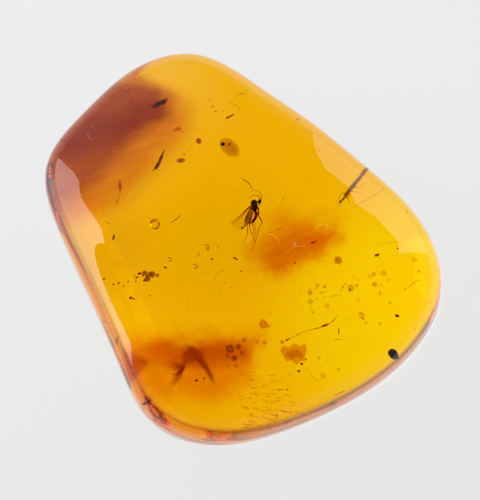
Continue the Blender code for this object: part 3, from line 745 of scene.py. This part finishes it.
membrane = makeMembrane()
seat(makeGnat(), "dark_chitin", "fungus_gnat")
wings = []
veins = []
wingSides = (("near", 0.0, -gnat["tilt"], 0.12), ("far", gnat["farTurn"], gnat["tilt"], -0.12))
for side, turn, tilt, level in wingSides:
    wings.append(makeWing(side + "Wing", turn, tilt, level, membrane))
    for number, vein in enumerate(gnat["veins"]):
        wide = gnat["otherVeins"] if number else gnat["leadingVein"]
        veins.append([
            (*wingPoint(x, y, 0, turn, tilt, level), wide * (1 - 0.6 * k / (len(vein) - 1)))
            for k, (x, y) in enumerate(vein)
        ])
wings.append(strands("wingVeins", veins, veinSkin, 1, 4))
seat(joined("gnatWings", wings), "dark_chitin", "fungus_gnat")
# a second, very fine antenna-like hair lies beyond the head
hairBeyond = [(-0.24, 1.32), (-0.32, 1.56), (-0.42, 1.73), (-0.62, 1.94), (-0.80, 2.03), (-0.96, 2.13)]
print("gnat made")


# the slim insect

slim = {
    "level": 4.5,
    "body": [
        (9.06, 5.60, 0.05), (9.07, 5.48, 0.12), (9.06, 5.36, 0.13), (8.96, 5.07, 0.145), (8.86, 4.92, 0.13),
        (8.77, 4.77, 0.15), (8.66, 4.63, 0.14), (8.54, 4.49, 0.16), (8.43, 4.34, 0.15), (8.32, 4.19, 0.17),
        (8.23, 4.07, 0.15), (8.14, 3.95, 0.155), (7.99, 3.73, 0.145), (7.87, 3.54, 0.13), (7.79, 3.43, 0.06),
        (7.68, 3.33, 0.035), (7.60, 3.26, 0.05), (7.53, 3.18, 0.08), (7.48, 3.13, 0.03),
    ],
    "legs": [
        [(8.00, 3.74), (7.66, 3.88), (7.46, 3.50), (7.44, 3.26)],
        [(7.85, 3.50), (7.74, 3.18), (7.59, 2.95), (7.31, 2.72)],
        [(8.45, 4.34), (8.84, 4.20), (9.24, 4.48)],
        [(8.22, 4.06), (8.50, 3.90), (8.85, 3.84)],
        [(8.06, 3.82), (8.28, 3.62), (8.21, 3.42)],
        [(7.98, 3.70), (8.20, 3.24), (8.30, 2.84)],
    ],
}


def makeSlimInsect():
    level = slim["level"]
    trunk = [(x, y, level, r * 1.15) for x, y, r in slim["body"]]
    torso = strands("trunk", [trunk[:-4]], greySkin, 5, 6)
    head = strands("head", [trunk[-5:]], blackSkin, 5, 6)
    body = joined("slimBody", [torso, head])
    legs = []
    for i, leg in enumerate(slim["legs"]):
        lean = 0.10 if i % 2 else -0.10
        widths = [0.040] + [0.024] * (len(leg) - 2) + [0.012]
        legs.append([(x, y, level + lean * min(k, 2), widths[k]) for k, (x, y) in enumerate(leg)])
    feelers = [
        [
            (7.50, 3.14, level + 0.02, 0.016), (7.40, 2.98, level + 0.06, 0.012),
            (7.36, 2.80, level + 0.10, 0.006),
        ],
        [
            (7.49, 3.16, level - 0.02, 0.016), (7.33, 3.06, level - 0.06, 0.012),
            (7.17, 3.02, level - 0.10, 0.006),
        ],
    ]
    return joined("slimInsect", [body, strands("slimLegs", legs + feelers, legSkin, 2, 5)])


seat(makeSlimInsect(), "grey_chitin", "slim_insect")
print("slim insect made")


# scraps of plants, seeds and pellets

scraps = [
    ("bark_flake", "barkFlake", barkTint, 0.022, 0.03, 0.10, "bark"),
    ("twig_splinter", "twigSplinter", barkTint, 0.022, 0.03, 0.12, "bark"),
    ("stem_bit", "stemBit", barkTint, 0.018, 0.02, 0.08, "bark"),
    ("wood_chip", "woodChip", redWood, 0.018, 0.02, 0.08, "red_wood"),
    ("frass_pellet", "frassPellet", pelletSkin, 0.022, 0.03, 0.10, "frass"),
    ("red_grain", "redGrain", redWood, 0.020, 0.02, 0.12, "red_wood"),
    ("leaf_scrap", "leafScrap", redWood, 0.020, 0.03, 0.10, "red_wood"),
    ("char_splinter", "charSplinter", barkTint, 0.018, 0.02, 0.10, "bark"),
    ("dark_seed", "darkSeed", barkSkin, 0.022, 0.03, 0.15, "bark"),
    ("dark_crumb", "darkCrumb", barkTint, 0.016, 0.02, 0.08, "bark"),
    ("frass_cluster", "frassCluster", frassSkin, 0.026, 0.04, 0.12, "frass"),
    ("curled_scrap", "curledScrap", redWood, 0.020, 0.03, 0.10, "red_wood"),
    ("rust_flake", "rustFlake", rustSkin, 0.026, 0.03, 0.10, "rust_skin"),
]
# thin ragged skirts round two of them
skirts = {
    "rustFlake": [
        (2.75, -8.45), (3.10, -8.10), (3.45, -8.25), (3.95, -7.90), (4.35, -8.15), (4.75, -7.85),
        (4.90, -8.45), (4.70, -8.90), (4.85, -9.30), (4.35, -9.25), (4.05, -9.55), (3.60, -9.20),
        (3.25, -9.35), (3.05, -8.95),
    ],
    "barkFlake": [
        (-7.55, 11.05), (-7.00, 11.35), (-6.55, 11.30), (-6.30, 11.65), (-5.95, 11.35), (-6.35, 11.00),
        (-6.95, 10.85),
    ],
}
clusterBits = [
    (-7.98, -2.45, 0.13), (-7.72, -2.62, 0.09), (-7.42, -2.70, 0.12), (-7.20, -2.55, 0.07),
    (-8.12, -2.72, 0.08), (-7.62, -3.02, 0.10), (-6.98, -2.78, 0.08), (-8.30, -2.60, 0.06),
]
for node, name, finish, voxel, depth, grain, slotName in scraps:
    scrap = weathered(node, name, finish, voxel, depth, grain)
    if name in skirts:
        skirt = flake(name + "Skirt", skirts[name], 4.5, 0.22, rustSkin, 0.03, 0.3)
        scrap = joined(name, [scrap, skirt])
    if name == "frassCluster":
        bits = [
            paint(lump((x, y, 4.75), (r, r * 0.8, r * 0.7), 50 * k, 0.3, 2.0, k, 3), speckSkin)
            for k, (x, y, r) in enumerate(clusterBits)
        ]
        scrap = joined(name, [scrap] + bits)
    seat(scrap, slotName, node)

rootlet = [
    (3.24, -7.76, 4.45, 0.05), (3.36, -7.69, 4.46, 0.075), (3.50, -7.62, 4.46, 0.05),
    (3.62, -7.56, 4.45, 0.026), (4.03, -7.36, 4.44, 0.022), (4.50, -7.14, 4.46, 0.026),
    (4.89, -6.97, 4.45, 0.024), (5.30, -6.86, 4.44, 0.028), (5.62, -6.78, 4.45, 0.036),
    (5.70, -6.76, 4.45, 0.060), (5.80, -6.72, 4.45, 0.030), (6.05, -6.63, 4.45, 0.045),
    (6.20, -6.57, 4.46, 0.090), (6.45, -6.47, 4.46, 0.085), (6.60, -6.41, 4.45, 0.035),
    (6.80, -6.30, 4.45, 0.030), (6.94, -6.17, 4.44, 0.045), (7.06, -6.02, 4.45, 0.030),
    (7.20, -5.86, 4.46, 0.030), (7.42, -5.72, 4.45, 0.014),
]
seat(strands("rootletFine", [rootlet], speckSkin, 3, 4), "bark", "rootlet")


def makeHusk():
    # a papery oval skin, clear enough to show its two kernels
    skin = paint(lump((-1.10, 7.72, 4.40), (0.95, 0.58, 0.34), -42, 0.04, 1.6, 4, 4), huskBody)
    kernels = [
        paint(lump((-1.66, 7.98, 4.56), (0.17, 0.15, 0.15), 0, 0.12, 2.0, 2, 3), barkSkin),
        paint(lump((-1.16, 7.96, 4.62), (0.15, 0.14, 0.12), 0, 0.12, 2.0, 3, 3), redWood),
        paint(lump((-0.80, 7.52, 4.50), (0.10, 0.10, 0.08), 0, 0.12, 2.0, 6, 3), redWood),
    ]
    rim = []
    across = math.cos(math.radians(-42))
    along = math.sin(math.radians(-42))
    for k in range(25):
        a = math.radians(100 + k * 9)
        x = 0.93 * math.cos(a)
        y = 0.56 * math.sin(a)
        rim.append((-1.10 + x * across - y * along, 7.72 + x * along + y * across, 4.42, 0.022))
    return joined("seedHusk", [skin] + kernels + [strands("huskRim", [rim], hairSkin, 1, 2)])


seat(makeHusk(), "husk_skin", "seed_husk")
print("scraps made")


# drops, specks and hairs too small for solids of their own

# x, y and radius in millimetres
brownDrops = [
    (10.85, -2.38, 0.22), (10.13, -2.51, 0.18), (9.85, -2.80, 0.18), (10.17, -3.27, 0.22),
    (11.23, -3.07, 0.14), (10.66, -3.33, 0.11), (8.39, -3.70, 0.26), (8.80, -3.54, 0.16), (5.22, -3.91, 0.19),
    (5.21, -4.20, 0.18), (5.22, -4.77, 0.22), (5.79, -3.51, 0.16), (5.64, -3.75, 0.13), (6.34, -3.58, 0.17),
    (6.10, -4.10, 0.16), (6.40, -3.93, 0.10), (5.71, -4.61, 0.11), (6.33, -4.44, 0.10), (6.50, -5.18, 0.21),
    (5.44, -5.69, 0.12), (4.44, -4.24, 0.10), (3.89, -4.59, 0.09), (8.91, -4.60, 0.14), (2.00, -6.79, 0.14),
    (2.08, -5.78, 0.11), (7.40, -1.57, 0.34), (13.14, -1.41, 0.20), (13.41, -2.28, 0.16), (9.14, -5.73, 0.24),
    (10.47, -6.28, 0.13),
]
redDrops = [
    (-1.04, -8.58, 0.34), (-0.40, -8.36, 0.24), (0.04, -7.73, 0.22), (-0.72, -9.26, 0.26),
    (-1.20, -9.72, 0.16), (-0.57, -9.72, 0.16), (-1.25, -9.10, 0.20), (-0.15, -8.75, 0.18),
]
orangeDrops = [
    (1.06, -7.96, 0.16), (1.63, -8.02, 0.18), (1.55, -6.60, 0.34), (4.22, -7.22, 0.12),
    (6.01, -10.13, 0.18), (5.79, -9.13, 0.12), (6.44, -9.29, 0.10), (3.0, -7.98, 0.2),
]
darkDrops = [
    (7.97, -3.32, 0.12), (7.77, -3.52, 0.11), (7.63, -3.79, 0.11), (8.30, -3.78, 0.14), (11.30, -4.82, 0.12),
    (9.42, -6.25, 0.10), (7.24, -9.84, 0.12), (-5.96, -1.62, 0.07), (7.37, -6.98, 0.10),
]
specks = [
    (8.44, -2.65, 0.05), (8.68, -2.69, 0.05), (8.60, -2.93, 0.05), (8.94, -2.96, 0.05), (9.02, -2.10, 0.05),
    (9.27, -2.40, 0.05), (7.83, -4.90, 0.05), (12.29, 2.14, 0.05), (12.80, -6.23, 0.06), (14.00, -4.40, 0.06),
    (3.89, 9.51, 0.07), (5.67, 7.23, 0.05), (5.05, 4.79, 0.05), (4.65, 3.08, 0.05), (-0.52, 4.03, 0.06),
    (-2.60, 5.08, 0.06), (-8.66, 11.36, 0.08), (-12.33, 6.18, 0.06), (-0.16, -2.37, 0.08),
    (-7.16, -4.27, 0.08), (-9.87, -4.50, 0.05), (-2.96, -2.56, 0.06), (-1.81, -3.97, 0.06),
    (-0.98, -3.65, 0.05), (-6.08, -1.99, 0.11), (-8.17, -2.74, 0.10), (-8.22, -3.04, 0.08),
    (-8.71, -2.92, 0.08), (-9.00, -3.27, 0.08), (-9.39, -3.08, 0.09), (-9.70, -3.08, 0.08),
    (-10.40, -2.71, 0.08), (-8.46, -4.21, 0.14), (-8.30, -4.46, 0.08), (4.21, -10.03, 0.11),
    (-3.02, -10.62, 0.10), (-3.59, -10.89, 0.11), (-3.30, -10.45, 0.06), (6.53, -11.80, 0.11),
    (3.27, -11.37, 0.07), (10.25, -9.32, 0.06), (2.88, 0.95, 0.08), (2.13, 0.66, 0.07), (4.08, -1.71, 0.09),
    (4.43, -9.38, 0.12), (4.80, -9.20, 0.08), (5.43, -0.10, 0.13), (11.87, -0.49, 0.08), (-4.69, 7.06, 0.09),
    (-4.05, 7.80, 0.05), (-4.26, 7.57, 0.05), (-4.46, 7.35, 0.05), (-2.49, -1.43, 0.10), (-10.60, 1.80, 0.06),
    (-10.44, 1.51, 0.06), (-2.74, 11.51, 0.07), (-2.51, 11.04, 0.08), (-2.27, 10.56, 0.08),
    (-1.69, 10.52, 0.06), (11.77, -5.66, 0.15),
]
# routes of fine hairs: points in millimetres, then the radius
hairs = [
    ([(8.59, 2.77), (8.99, 3.00), (9.53, 3.29), (10.02, 3.51), (10.31, 3.73), (10.64, 3.91)], 0.016),
    ([(-0.84, 11.58), (-0.58, 11.89), (-0.35, 11.76), (-0.06, 12.03)], 0.018),
    ([(-1.32, 11.37), (-0.90, 11.05), (-0.50, 10.72), (-0.69, 10.43)], 0.014),
    ([(-5.73, 1.57), (-5.39, 1.80), (-4.93, 2.20)], 0.030),
    ([(-4.25, -4.03), (-4.24, -4.66), (-4.29, -5.99)], 0.010),
    ([(-2.42, -3.33), (-2.24, -2.89), (-1.92, -2.45), (-1.61, -2.29), (-1.30, -2.41)], 0.015),
    ([(4.80, -9.74), (5.10, -10.12), (5.39, -10.49), (5.93, -10.51)], 0.014),
    ([(11.89, -3.68), (12.32, -3.60)], 0.012),
    ([(12.50, -3.58), (12.79, -3.35), (12.98, -3.15), (13.17, -2.95), (13.48, -2.91)], 0.018),
    ([(10.51, -0.15), (11.24, -0.06), (11.90, 0.01)], 0.014),
    ([(10.48, -1.12), (10.59, -1.27), (10.70, -1.35)], 0.014),
    ([(-8.23, -4.09), (-8.10, -3.94), (-7.93, -3.88)], 0.018),
    ([(6.74, -11.35), (7.09, -11.13), (7.56, -10.93)], 0.018),
    ([(6.78, -4.35), (7.16, -4.23), (7.62, -4.22)], 0.018),
    ([(7.74, -5.82), (8.34, -5.79)], 0.010),
    ([(7.73, -6.02), (8.33, -6.01)], 0.010),
    ([(6.96, -7.62), (7.28, -7.53), (7.61, -7.59)], 0.020),
    ([(7.37, -6.72), (7.35, -7.23)], 0.040),
    ([(5.23, -5.07), (5.31, -5.39), (5.44, -5.69)], 0.018),
    ([(-12.43, 6.13), (-12.41, 5.38), (-12.38, 4.39)], 0.012),
    ([(5.53, -0.06), (5.66, 0.06), (5.76, 0.13)], 0.040),
    ([(-0.83, -1.24), (-0.62, -1.30), (-0.47, -1.44)], 0.055),
    ([(9.14, -5.88), (9.26, -6.02)], 0.050),
]
paleLines = [
    ([(-9.15, 3.19), (-8.85, 3.79), (-8.33, 4.13)], 0.022),
    ([(-12.01, 8.58), (-12.05, 8.32), (-11.78, 8.07)], 0.030),
    ([(-8.25, 13.11), (-7.92, 13.34), (-7.42, 13.59)], 0.022),
    ([(-5.92, 13.44), (-5.63, 13.56), (-5.31, 13.43)], 0.020),
    ([(3.97, -0.43), (4.91, -0.42)], 0.030),
    ([(3.97, -0.43), (3.27, -1.07)], 0.024),
    ([(1.94, 0.62), (2.25, 0.50), (2.56, 0.30), (2.84, -0.10)], 0.026),
    ([(5.76, 0.93), (5.99, 1.25), (6.60, 1.24), (6.45, 0.85)], 0.026),
]


# painted glints, pale specks close under the polish that glow: x, y, level and radius in millimetres
glints = [
    (4.02, -0.66, 8.2, 0.17), (-11.2, 6.75, 8.2, 0.06), (-10.1, 6.75, 8.3, 0.07), (-13.5, 5.7, 7.6, 0.06),
    (-11.9, 8.9, 8.0, 0.05), (-6.1, 12.0, 8.2, 0.05), (7.6, 3.9, 8.0, 0.05),
]


def makeGlints():
    parts = []
    for k, (x, y, z, r) in enumerate(glints):
        parts.append(lump((x, y, z), (r, r * 1.2, r * 0.7), k * 40, 0.2, 2.0, k, 2))
    return paint(joined("paleGlints", parts), glintSkin)


def makeDrops(name, drops, finish, seed):
    rng = random.Random(seed)
    parts = []
    for x, y, r in drops:
        radii = (r * rng.uniform(0.85, 1.1), r * rng.uniform(0.85, 1.1), r * rng.uniform(0.7, 0.9))
        middle = (x, y, rng.uniform(4.3, 5.6))
        turn = rng.uniform(0, 180)
        seedling = rng.randint(0, 99)
        parts.append(lump(middle, radii, turn, 0.24, 1.6, seedling, 3))
        if len(parts) % 3 == 1:
            # some are skins round a clearer middle
            core = lump(middle, [half * 0.62 for half in radii], turn, 0.24, 1.6, seedling, 3)
            flipFaces(core)
            parts.append(core)
    return paint(joined(name, parts), finish)


def makeSpecks():
    rng = random.Random(11)
    parts = []
    for x, y, r in specks:
        radii = (r * rng.uniform(0.9, 1.5), r * rng.uniform(0.6, 0.9), r * rng.uniform(0.6, 0.9))
        parts.append(
            lump((x, y, rng.uniform(4.2, 5.4)), radii, rng.uniform(-30, 60), 0.22, 2.0, rng.randint(0, 99), 2)
        )
    return paint(joined("specks", parts), speckSkin)


def hairRoutes(lines, level):
    routes = []
    for points, r in lines:
        last = len(points) - 1
        routes.append([
            (x, y, level + 0.05 * math.sin(x * 3 + k), 1.3 * r if 0 < k < last else r)
            for k, (x, y) in enumerate(points)
        ])
    return routes


def makeCrackle():
    # a patch of short wavy partings, one above the other
    rng = random.Random(21)
    routes = []
    for row in range(24):
        y = -10.30 - row * 0.155
        x = rng.uniform(-0.4, 0.6)
        right = rng.uniform(2.2, 3.9)
        level = rng.uniform(4.3, 4.9)
        while x < right:
            route = []
            for _ in range(rng.randint(3, 6)):
                lift = 0.06 * math.sin(x * 2.6 + row * 1.7) + rng.uniform(-0.03, 0.03)
                route.append((x, y + lift, level, rng.uniform(0.015, 0.06)))
                x += rng.uniform(0.14, 0.28)
            routes.append(route)
            x += rng.uniform(0.1, 0.8)
    return strands("crackle", routes, crackleLine, 1, 4)


crackleLine = soaked("crackleEdge", "#c8640c", 6.0)
glowingSeam = newMaterial(
    "glowingHealedEdge", Base_Color=(0.9, 0.8, 0.75, 1), Emission_Color=(0.90, 0.58, 0.40, 1),
    Emission_Strength=0.85,
)[0]  # healed seams made to glow, painted light, so they shine a little brighter than the amber round them
glintSkin = newMaterial(
    "crackGlint", Base_Color=(0.9, 0.8, 0.75, 1), Emission_Color=(0.58, 0.42, 3.0, 1), Emission_Strength=0.8,
)[0]  # painted glints: tiny cracks made to glow as if they threw the lamp back at the eye
seat(makeDrops("brownDroplets", brownDrops, sapBrown, 2), "clear_amber")
seat(makeDrops("orangeDroplets", orangeDrops, sapOrange, 3), "clear_amber")
seat(makeDrops("redDroplets", redDrops, sapRed, 5), "clear_amber")
seat(makeDrops("darkDroplets", darkDrops, sapOlive, 4), "clear_amber")
seat(makeSpecks(), "bark")
hairs.append(([(x + 0.87, y + 3.01) for x, y in hairBeyond], 0.030))
seat(strands("plantHairs", hairRoutes(hairs, 4.6), hairSkin, 1, 4), "bark")
# pale seams that glow: painted light
seat(strands("paleThreads", hairRoutes(paleLines, 5.4), glowingSeam, 1, 4), "clear_amber")
seat(makeCrackle(), "clear_amber")
seat(makeGlints(), "clear_amber")
print("drops, specks and hairs made")


# floor, light and camera

# light gathered by the stone on the paper under it: middle, reach in millimetres, gain
pools = [
    ((0.0, 0.0), 60.0, 0.15),
    ((-0.5, 0.8), 5.0, -0.10),
    ((-6.5, -1.0), 5.0, -0.05),
    ((11.5, -3.0), 6.5, 0.16),
    ((-9.0, -7.5), 4.0, 0.10),
]


paperGlow = 0.82
wedgeShade = (0.36, 0.20, 0.13, 1)


def makeFloor():
    # the outer row of a fine grid is drawn out to four metres
    cells = 300
    half = 0.05
    bpy.ops.mesh.primitive_grid_add(
        x_subdivisions=cells, y_subdivisions=cells, size=2 * half, location=(0, 0, 0),
    )
    floor = bpy.context.object
    floor.name = "paleFloor"
    count = len(floor.data.vertices)
    places = np.empty(count * 3)
    floor.data.vertices.foreach_get("co", places)
    places = places.reshape(-1, 3)
    x = places[:, 0] / mm - toBoxMiddle.x
    y = places[:, 1] / mm - toBoxMiddle.y
    centre = np.array(stone["centre"])
    outline = smoothOutline(stone["outline"], 720) - centre
    turns = np.arctan2(outline[:, 1], outline[:, 0])
    order = np.argsort(turns)
    middle = centre + np.array(stone["shift"]) / 2
    radius = np.interp(
        np.arctan2(y - middle[1], x - middle[0]), turns[order], np.linalg.norm(outline, axis=1)[order],
        period=2 * math.pi,
    )
    share = np.hypot(x - middle[0], y - middle[1]) / radius
    under = np.clip((1.0 - share) / 0.06, 0, 1)
    light = np.ones(count)
    for (px, py), reach, gain in pools:
        far = np.hypot(x - px, y - py) / reach
        light += gain * np.exp(-far ** 2) * under
    light *= 1 - 0.75 * np.clip((-y - 23.0) / 4.0, 0, 1)  # the paper ends a little way in front of the stone
    beside = np.clip((-x - 22.0) / 6.0, 0, 1) * np.clip((15.0 - y) / 6.0, 0, 1) * np.clip(
        (y + 16.0) / 6.0, 0, 1,
    )
    light += 1.6 * beside  # painted light on the paper to the left, as if the left panel stood close to it
    # painted fall-off of light across the paper: a little darker towards the front and the right
    light *= 0.974 - 0.00047 * x + 0.00114 * y
    turn = np.degrees(np.arctan2(y - middle[1], x - middle[0])) % 360
    near = np.clip((turn - 205) / 20, 0, 1) * np.clip((365 - turn) / 20, 0, 1)
    values = np.column_stack([light, light, light, under * near])
    layer = floor.data.color_attributes.new("paperLight", "FLOAT_COLOR", "POINT")
    layer.data.foreach_set("color", values.ravel())
    rim = np.max(np.abs(places[:, :2]), axis=1) > half * (1 - 0.5 / cells)
    places[rim, :2] *= 100
    places[:, 2] = -0.02 * mm
    floor.data.vertices.foreach_set("co", places.ravel())
    floor.data.update()
    finish, tree, shader = newMaterial("palePaper", Roughness=1.0)
    shader.inputs["Base Color"].default_value = (0.06, 0.06, 0.06, 1)
    shader.inputs["Specular IOR Level"].default_value = 0.0
    lit = addNode(tree, "VertexColor", layer_name="paperLight")
    # under the stone the paper is shaded where it is seen edge-on, through the wedge below the rim
    edgeOn = addNode(tree, "LayerWeight", {"Blend": 0.5}).outputs["Facing"]
    wedge = addNode(
        tree, "MapRange", {"From Min": 0.36, "From Max": 0.66, "To Max": 1.0}, {"Value": edgeOn},
        interpolation_type="SMOOTHSTEP",
    ).outputs[0]
    shade = combine(tree, wedge, lit.outputs["Alpha"], "MULTIPLY")
    shown = addNode(
        tree, "Mix", {7: wedgeShade}, {"Factor": shade, 6: lit.outputs["Color"]}, data_type="RGBA",
    )
    tree.links.new(shown.outputs[2], shader.inputs["Emission Color"])
    shader.inputs["Emission Strength"].default_value = paperGlow
    paint(floor, finish)


def toward(azimuth, elevation):
    a = math.radians(azimuth)
    e = math.radians(elevation)
    return Vector((math.cos(e) * math.sin(a), -math.cos(e) * math.cos(a), math.sin(e)))


def makeSky():
    # dark overhead, so the polished top stays clear, with a pale wall behind on the left
    sky = bpy.data.worlds.new("studio")
    bpy.context.scene.world = sky
    sky.use_nodes = True
    tree = sky.node_tree
    look = addNode(tree, "TexCoord").outputs["Generated"]
    height = addNode(tree, "SeparateXYZ", None, {"Vector": look}).outputs["Z"]
    low = addNode(
        tree, "MapRange", {"From Min": 0.0, "From Max": 0.6, "To Min": 0.30, "To Max": 0.0}, {
            "Value": height
        },
    ).outputs[0]
    near = addNode(tree, "VectorMath", {1: toward(-146, 28)}, {0: look}, operation="DOT_PRODUCT")
    wall = addNode(
        tree, "MapRange", {"From Min": 0.64, "From Max": 1.0, "To Max": 0.78}, {
            "Value": near.outputs["Value"]
        },
    ).outputs[0]
    both = combine(tree, low, wall, "MAXIMUM")
    tree.links.new(both, tree.nodes["Background"].inputs["Color"])


def addPanel(name, distance, radiance, corners):
    # a glowing panel whose corners are given as directions from the stone
    bpy.ops.mesh.primitive_circle_add(vertices=len(corners), radius=1, fill_type="NGON")
    panel = bpy.context.object
    panel.name = name
    for vertex, (azimuth, elevation) in zip(panel.data.vertices, corners):
        vertex.co = toward(azimuth, elevation) * distance
    finish, tree, shader = newMaterial(name + "Glow", Base_Color=(0, 0, 0, 1), Emission_Color=(1, 1, 1, 1))
    shader.inputs["Specular IOR Level"].default_value = 0.0
    shader.inputs["Emission Strength"].default_value = radiance
    paint(panel, finish)


makeFloor()
makeSky()
panelDistance = 0.6
addPanel("leftPanel", panelDistance, 3.6, [
    (-75, 0.5), (-78, 24), (-83, 42), (-89, 57), (-93, 60), (-96, 54), (-99, 51), (-114, 51), (-118, 44),
    (-121, 12), (-122, 0.5),
])
addPanel("rightPanel", panelDistance, 1.5, [
    (112, 0.5), (118, 53), (124, 49), (130, 51), (138, 52), (145, 55), (147, 46), (148.5, 47), (148.5, 30),
    (149, 0.5),
])

camera = bpy.data.cameras.new("camera")
camera.lens = 180
camera.sensor_width = 36
camera.sensor_fit = "HORIZONTAL"
camera.clip_start = 0.001
cameraObject = bpy.data.objects.new("camera", camera)
bpy.context.scene.collection.objects.link(cameraObject)
aim = spot(-0.24, -0.08, 3.8)
tilt = math.radians(77)
frameWidth = 38.4  # millimetres across at the stone
reach = frameWidth / camera.sensor_width * camera.lens * mm
cameraObject.location = aim + Vector((0, -math.cos(tilt), math.sin(tilt))) * reach
cameraObject.rotation_euler = (aim - cameraObject.location).to_track_quat("-Z", "Y").to_euler()
bpy.context.scene.camera = cameraObject
bpy.context.scene.view_settings.view_transform = "Standard"
tracer = bpy.context.scene.cycles
tracer.use_denoising = True
bounces = 32  # light runs a long way round inside the stone
tracer.transparent_max_bounces = bounces
tracer.max_bounces = bounces
tracer.glossy_bounces = bounces
tracer.transmission_bounces = bounces
print("stage made")
